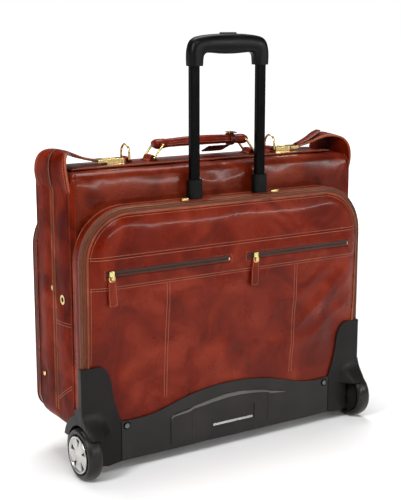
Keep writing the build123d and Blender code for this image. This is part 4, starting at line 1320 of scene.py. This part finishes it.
handle_path = [(x, SPLIT_Y, HANDLE_Z + handle_bow(x)) for x, half_y, half_z in rows]
add("carry_handle_leather", swept(handle_path, handle_ring_section), LEATHER, "leather", "handle",
    "carry_handle")
thread = []
for y_sign in (-1, 1):
    run = [(x, SPLIT_Y + y_sign * (half_y * 0.93 + 0.2), HANDLE_Z + handle_bow(x) - 2.4)
           for x, half_y, half_z in rows if abs(x) < 72]
    thread.append(stitches(run, 3.8, 2.6, 0.36, out=(0, y_sign, -0.2)))
for x in (-72.0, 72.0):
    cross_seam = [(x, SPLIT_Y + y, HANDLE_Z + 8.0) for y in (-9, 9)]
    thread.append(stitches(cross_seam, 3.0, 2.1, 0.34, out=(0, 0, 1)))
add("carry_handle_stitching", join_lists(thread), THREAD, "leather", "handle")

# --- luggage tag: a strap round the handle with a small buckle, and a stitched tag ---

TAG_LEAN = -23.5
lean = Matrix.Translation((0, SPLIT_Y, HANDLE_Z)) @ rotation(TAG_LEAN, "X")
grid = []
for i in range(21):
    share = i / 20
    x = 22.4 + 45.2 * share
    edge = min(x - 22.4, 67.6 - x)
    trim = 4.0 * (1 - smooth_step(0, 5, edge))
    row = []
    for j in range(13):
        y, wave = 12.5 + trim + (30.0 - 2 * trim) * j / 12, 0.3 * softness((x, j * 3.0, 0), 14, 3.3)
        row.append((x, y, -6.3 + wave))
    grid.append(row)
tag_parts = [placed(sheet_part(grid, 2.2), lean)]
strap_loop = []
for i in range(33):
    angle = math.radians(-70 + 320 * i / 32)
    radius = 10.4 + (0.6 if i % 32 == 0 else 0.0)
    y, z = SPLIT_Y - radius * math.sin(angle), HANDLE_Z + 1.2 - radius * math.cos(angle)
    strap_loop.append([(56.2 + 9.6 * j / 4, y, z) for j in range(5)])
tag_parts.append(sheet_part(strap_loop, 1.7))
neck = [[(56.4 + 9.2 * j / 4, 7.5 + 7.0 * i / 5, -6.6 - 0.2 * i) for j in range(5)] for i in range(6)]
tag_parts.append(placed(sheet_part(neck, 1.9), lean))
tag_end = []
for i in range(10):
    y, z = SPLIT_Y - 4 - 13.0 * i / 9, HANDLE_Z + 12.6 + 1.2 * math.sin(i / 3.0)
    tag_end.append([(57.0 + 8.0 * j / 4, y, z) for j in range(5)])
tag_parts.append(sheet_part(tag_end, 1.7))
# The tag and its strap are dark leather; part of that darkness is painted shade, for the tag lies behind the
# handle in its shade.
add("luggage_tag_leather", join_lists(tag_parts), DARK_LEATHER, "leather", "tag", "luggage_tag")
run = [(25.0, 15.4, -5.0), (65.0, 15.4, -5.0), (65.0, 39.6, -5.0), (25.0, 39.6, -5.0), (25.0, 15.4, -5.0)]
add("luggage_tag_stitching", placed(stitches(run, 3.4, 2.3, 0.33, out=(0, 0, 1)), lean), THREAD, "leather",
    "tag")
buckle = []
corners = [(54.6, -5.6), (67.4, -5.6), (67.4, 5.6), (54.6, 5.6)]
ring_path = resampled([(x, SPLIT_Y + dy, HANDLE_Z + 12.9) for x, dy in corners + corners[:1]], 1.6)[:-1]
buckle.append(cord_along(ring_path, 1.05, closed=True, sides=8, up=(0, 0, 1)))
buckle.append(cord_along([(61.0, SPLIT_Y - 5.6, HANDLE_Z + 13.6), (61.0, SPLIT_Y, HANDLE_Z + 14.2),
                          (61.0, SPLIT_Y + 5.4, HANDLE_Z + 13.6)], 0.8, sides=8, up=(0, 0, 1)))
add("luggage_tag_buckle", join_lists(buckle), BRASS, "brass", "tag")

# --- trolley grip: arched on top, a little bowed underneath, rounded all over ---

GRIP_Y, GRIP_HALF_DEPTH = -73.0, 13.3
GRIP_RING = 28
# outer and inner (x, z) of each section, from the foot of the left leg to the middle
GRIP_SECTIONS = [((-76.4, 653.0), (-51.6, 653.0)), ((-77.0, 661.0), (-51.0, 660.0)),
                 ((-77.0, 673.0), (-50.2, 666.0)), ((-75.6, 682.5), (-48.0, 670.4)),
                 ((-72.4, 691.2), (-43.6, 672.8)), ((-65.6, 697.4), (-37.5, 673.2)),
                 ((-54.0, 700.6), (-29.0, 672.6)), ((-38.0, 702.6), (-19.0, 671.8)),
                 ((-19.0, 703.6), (-9.5, 671.3)), ((0.0, 704.0), (0.0, 671.2))]
left_half = smooth_path([(*outer, *inner) for outer, inner in GRIP_SECTIONS], 46)
right_half = [(-ax, az, -bx, bz) for ax, az, bx, bz in reversed(left_half[:-1])]
verts = []
for ax, az, bx, bz in left_half + right_half:
    for across, deep in squared_circle(GRIP_RING, 0.72):
        verts.append(((ax + bx + (ax - bx) * across) / 2, GRIP_Y + GRIP_HALF_DEPTH * deep,
                      (az + bz + (az - bz) * across) / 2))
faces = tube_faces(len(left_half + right_half), GRIP_RING, caps=True)
add("grip_moulding", (verts, faces), GRIP_PLASTIC, "grip_plastic", "upper_stage", "trolley_grip",
    sharp=50.0)

# --- wheels, wheel wells and the raised details of the kick plate ---

PLATE_Y = -88.0
JOINT_X, PLATE_LOW = 214.5, 19.0
# (x, how far the hood over the tyre stands out there)
HOOD_STATIONS = ((232.0, 0.02), (236.0, 0.08), (240.0, 0.22), (244.0, 0.42), (248.0, 0.62),
                 (252.0, 0.80), (256.0, 0.93), (260.0, 0.99), (266.0, 1.0), (274.0, 0.99),
                 (279.0, 0.95), (282.0, 0.88), (283.7, 0.78))
LINING_RADIUS, HOOD_RADIUS = 53.4, 45.6


def turned(profile, sides=72):
    """A closed profile of (x, radius) turned about the wheel axle."""
    verts = []
    for i in range(sides):
        turn = 2 * math.pi * i / sides
        for x, radius in profile:
            verts.append((x, AXLE[0] + radius * math.cos(turn), AXLE[1] + radius * math.sin(turn)))
    return verts, tube_faces(sides, len(profile), closed=True)


def hub_part():
    """A cast wheel face with five slots, seen from outside, and its side walls behind it."""
    # (radius, x) of each ring of points, from the middle out
    rings = [(8.0, 289.9), (10.0, 289.5), (13.5, 288.6), (17.0, 288.0), (20.5, 288.0), (24.5, 288.3),
             (27.0, 289.0), (28.2, 290.4), (30.2, 290.4), (30.8, 289.2)]
    columns, slot_pitch = 90, 18
    verts, faces = [(290.6, AXLE[0], AXLE[1])], []
    for radius, x in rings:
        for j in range(columns):
            turn = 2 * math.pi * j / columns
            verts.append((x, AXLE[0] + radius * math.sin(turn), AXLE[1] + radius * math.cos(turn)))

    def corner(i, j):
        return 1 + i * columns + j % columns

    for j in range(columns):
        faces.append((0, corner(0, j), corner(0, j + 1)))
    walls = set()
    for i in range(len(rings) - 1):
        for j in range(columns):
            slot_columns = (0, 1, 2, 16, 17) if i >= 4 else (0, 1, 17)
            if 2 <= i <= 5 and j % slot_pitch in slot_columns:
                walls.add((i, j))
                continue
            faces.append((corner(i, j), corner(i + 1, j), corner(i + 1, j + 1), corner(i, j + 1)))
    for i, j in sorted(walls):
        for (ni, nj), (a, b) in (((i - 1, j), (corner(i, j), corner(i, j + 1))),
                                 ((i + 1, j), (corner(i + 1, j), corner(i + 1, j + 1))),
                                 ((i, (j - 1) % columns), (corner(i, j), corner(i + 1, j))),
                                 ((i, (j + 1) % columns), (corner(i, j + 1), corner(i + 1, j + 1)))):
            if (ni, nj) in walls:
                continue
            deep = len(verts)
            verts.extend([(verts[a][0] - 5.0, *verts[a][1:]), (verts[b][0] - 5.0, *verts[b][1:])])
            faces.append((a, b, deep + 1, deep))
    return verts, faces


tyre_profile = [(276.2 + 12.6 * across, 36.9 + (5.6 if rise > 0 else 5.9) * rise)
                for across, rise in squared_circle(24, 0.75)]
barrel = turned([(264.5, 30.9), (264.5, 12.0), (262.5, 9.5), (262.5, 4.2), (283.0, 4.2), (283.0, 30.9)])
for side, sign in (("left", -1), ("right", 1)):
    for name, (verts, faces), material, slot, stands_for in (
            ("tyre", turned(tyre_profile, 96), RUBBER, "tyre", [f"tyre_{side}"]),
            ("hub_face", hub_part(), SILVER, "bright_metal", [f"hub_{side}"]),
            ("hub_barrel", barrel, SKIRT_PLASTIC, "guard_plastic", [])):
        verts = [(sign * x, y, z) for x, y, z in verts]
        add(f"wheel_{name}_{side}", (verts, faces), material, slot, f"wheel_{side}", *stands_for, sharp=42.0)

    # black lining of the wheel well, and the hood of the guard over the tyre
    well = []
    for x in (254.0, 258.2):
        for turn in (math.pi * k / 24 for k in range(-12, 13)):
            y, rise = AXLE[0] + LINING_RADIUS * math.sin(turn), LINING_RADIUS * math.cos(turn)
            well.append((sign * x, max(y, -87.0), AXLE[1] + max(rise, 0.0)))
    faces = [tuple(range(25)), tuple(reversed(range(25, 50)))]
    faces += [(k, (k + 1) % 25, 25 + (k + 1) % 25, 25 + k) for k in range(25)]
    add(f"well_lining_{side}", (well, faces), SKIRT_PLASTIC, "guard_plastic", "case")
    hood = [(PLATE_Y + 0.4, 112.0), (-89.2, 107.0), (-91.8, 101.0), (-96.2, 94.6), (-102.4, 88.2),
            (-109.0, 81.6), (-114.8, 74.0)]
    for turn in map(math.radians, (41, 47, 53, 60, 67, 74, 79)):
        hood.append((AXLE[0] - HOOD_RADIUS * math.cos(turn), AXLE[1] + HOOD_RADIUS * math.sin(turn)))
    hood += [(PLATE_Y + 0.4, 90.0)]
    verts = []
    for x, rise in HOOD_STATIONS:
        verts += [(sign * x, PLATE_Y + 0.4 + (y - PLATE_Y - 0.4) * rise, z) for y, z in hood]
    faces = tube_faces(len(HOOD_STATIONS), len(hood), caps=True)
    add(f"guard_hood_{side}", (verts, faces), SKIRT_PLASTIC, "guard_plastic", "case", sharp=50.0)

# dark strips painted as the shade in the gaps beside the guards, and a dark ring painted as the shade in each
# screw's recess
marks = []
for sign in (-1, 1):
    edge = sign * JOINT_X
    marks.append(box_part(edge - 0.8, edge + 0.8, PLATE_Y - 0.25, PLATE_Y + 1.0, PLATE_LOW + 1.0, 86.0))
    ring = [(sign * 204.0 + 5.6 * math.cos(turn), PLATE_Y - 0.1, 78.0 + 5.6 * math.sin(turn))
            for turn in (2 * math.pi * k / 24 for k in range(24))]
    marks.append(cord_along(ring, 1.1, closed=True, sides=8, up=(0, 1, 0)))
add("plate_gap_shade_lines", join_lists(marks), BLACK_TUBE, "guard_plastic", "case")

# the sloping upper edge of the raised field, with a small step at each rib, in a lighter plastic that is a
# painted highlight along the bevel
FIELD_Y = PLATE_Y - 1.6
field_edge = [((-121.0, 70.0), 0.3), ((-119.5, 75.5), 0.8), ((-115.5, 79.4), 1.4), ((-106.0, 81.6), 2.2),
              ((-92.0, 83.4), 2.8), ((-82.0, 85.0), 2.6), ((-77.0, 87.4), 2.4), ((-60.0, 90.0), 3.4),
              ((-36.0, 94.2), 4.4), ((-10.0, 97.2), 4.8), ((16.0, 97.3), 4.4), ((42.0, 94.6), 3.6),
              ((62.0, 91.2), 2.8), ((76.0, 88.2), 2.0), ((84.0, 85.0), 2.4), ((100.0, 82.6), 1.6),
              ((111.0, 80.6), 0.8), ((116.0, 78.4), 0.3)]
verts = []
for (x, z), wide in field_edge:
    crest = z - 1.8
    verts.extend([(x, FIELD_Y - 0.25 - 0.25 * wide, crest - wide - 0.4), (x, FIELD_Y - 0.2, crest),
                  (x, PLATE_Y - 0.1, crest + 0.5), (x, PLATE_Y + 0.3, crest - wide - 0.4)])
faces = tube_faces(len(field_edge), 4, caps=True)
add("field_edge", (verts, faces), HIGHLIGHT_PLASTIC, "guard_plastic", "case", sharp=30.0)
ribs = [swept([(x, FIELD_Y + 0.2, 29.0), (x, FIELD_Y + 0.2, 50.0), (x, FIELD_Y + 0.2, top)],
              lambda i, share: circle(3.0, 1.6), up=(0, 1, 0)) for x, top in ((-77.0, 81.0), (80.0, 80.0))]
add("field_ribs", join_lists(ribs), GUARD_PLASTIC, "guard_plastic", "case", sharp=60.0)

# --- camera, lights and floor ---

camera_data = bpy.data.cameras.new("camera")
camera_data.lens = 77.26
camera_data.sensor_width = 36.0
camera = bpy.data.objects.new("camera", camera_data)
camera.location = (-0.98666, -1.5502, 0.715)
camera.rotation_euler = (math.radians(78.23), 0.0, math.radians(-32.3))
bpy.context.scene.collection.objects.link(camera)
bpy.context.scene.camera = camera


def softbox(name, location, target, size, power, colour=(1.0, 1.0, 1.0)):
    data = bpy.data.lights.new(name, "AREA")
    data.shape = "RECTANGLE"
    data.size, data.size_y = size
    data.energy = power
    data.color = colour
    lamp = bpy.data.objects.new(name, data)
    lamp.location = location
    aim = Vector(target) - Vector(location)
    lamp.rotation_euler = aim.to_track_quat("-Z", "Y").to_euler()
    bpy.context.scene.collection.objects.link(lamp)


softbox("key", (-2.3, -0.9, 1.9), (0.0, 0.0, 0.4), (0.6, 0.6), 50.0)
softbox("strip", (-0.7, -1.5, 2.1), (0.0, 0.0, 0.45), (2.2, 0.30), 22.0)
softbox("fill", (1.9, -2.0, 1.5), (0.0, 0.0, 0.3), (0.5, 1.2), 3.0)
softbox("overhead", (0.30, 0.8, 2.5), (0.2, 0.3, 0.0), (1.8, 1.6), 58.0)
softbox("bar", (0.98, -1.95, 0.92), (0.0, 0.0, 0.45), (2.0, 0.09), 18.0)

world = bpy.data.worlds.new("studio")
world.use_nodes = True
tree = world.node_tree
background = tree.nodes["Background"]
sky = tree.nodes.new("ShaderNodeTexCoord")
height = tree.nodes.new("ShaderNodeSeparateXYZ")
tree.links.new(sky.outputs["Generated"], height.inputs["Vector"])
band = ramp(tree, height.outputs["Z"], (0.0, grey(1.0)), (0.035, grey(1.0)), (0.08, grey(0.0)))
behind = tree.nodes.new("ShaderNodeVectorMath")
behind.operation = "DOT_PRODUCT"
behind.inputs[1].default_value = (0.53, 0.85, 0.0)
tree.links.new(sky.outputs["Generated"], behind.inputs[0])
backdrop = faded(tree, behind.outputs["Value"], 0.78, 0.93, 0.6)
horizon = combined(tree, "MULTIPLY", band, backdrop)
tree.links.new(mixed(tree, horizon, grey(0.14), grey(1.0)), background.inputs["Color"])
background.inputs["Strength"].default_value = 1.0
bpy.context.scene.world = world
bpy.context.scene.view_settings.view_transform = "Standard"

floor_mesh = bpy.data.meshes.new("floor")
floor_mesh.from_pydata([(-40, -40, 0), (40, -40, 0), (40, 60, 0), (-40, 60, 0)], [], [(0, 1, 2, 3)])
floor = bpy.data.objects.new("floor", floor_mesh)
bpy.context.scene.collection.objects.link(floor)
paper, tree, shader, coords = new_material("studio_paper", 0.9)
shader.inputs["Emission Color"].default_value = (1.0, 1.0, 1.0, 1.0)
place = tree.nodes.new("ShaderNodeSeparateXYZ")
tree.links.new(coords, place.inputs["Vector"])
distance = tree.nodes.new("ShaderNodeVectorMath")
distance.operation = "LENGTH"
tree.links.new(coords, distance.inputs[0])

# the paper brightens behind the case, less so to its left, and again far away
back = faded(tree, place.outputs["Y"], 0.7, 1.7, 0.0)
right = faded(tree, place.outputs["X"], -0.6, -0.1, 0.12)
far = faded(tree, distance.outputs["Value"], 2.8, 4.5, 0.0, 0.6)
glow = combined(tree, "MAXIMUM", combined(tree, "MULTIPLY", back, right), far)
tree.links.new(glow, shader.inputs["Emission Strength"])
clouds = noise_at(tree, coords, 3.0)
tree.links.new(ramp(tree, clouds, (0.3, grey(0.93)), (0.7, grey(0.95))), shader.inputs["Base Color"])
floor_mesh.materials.append(paper)
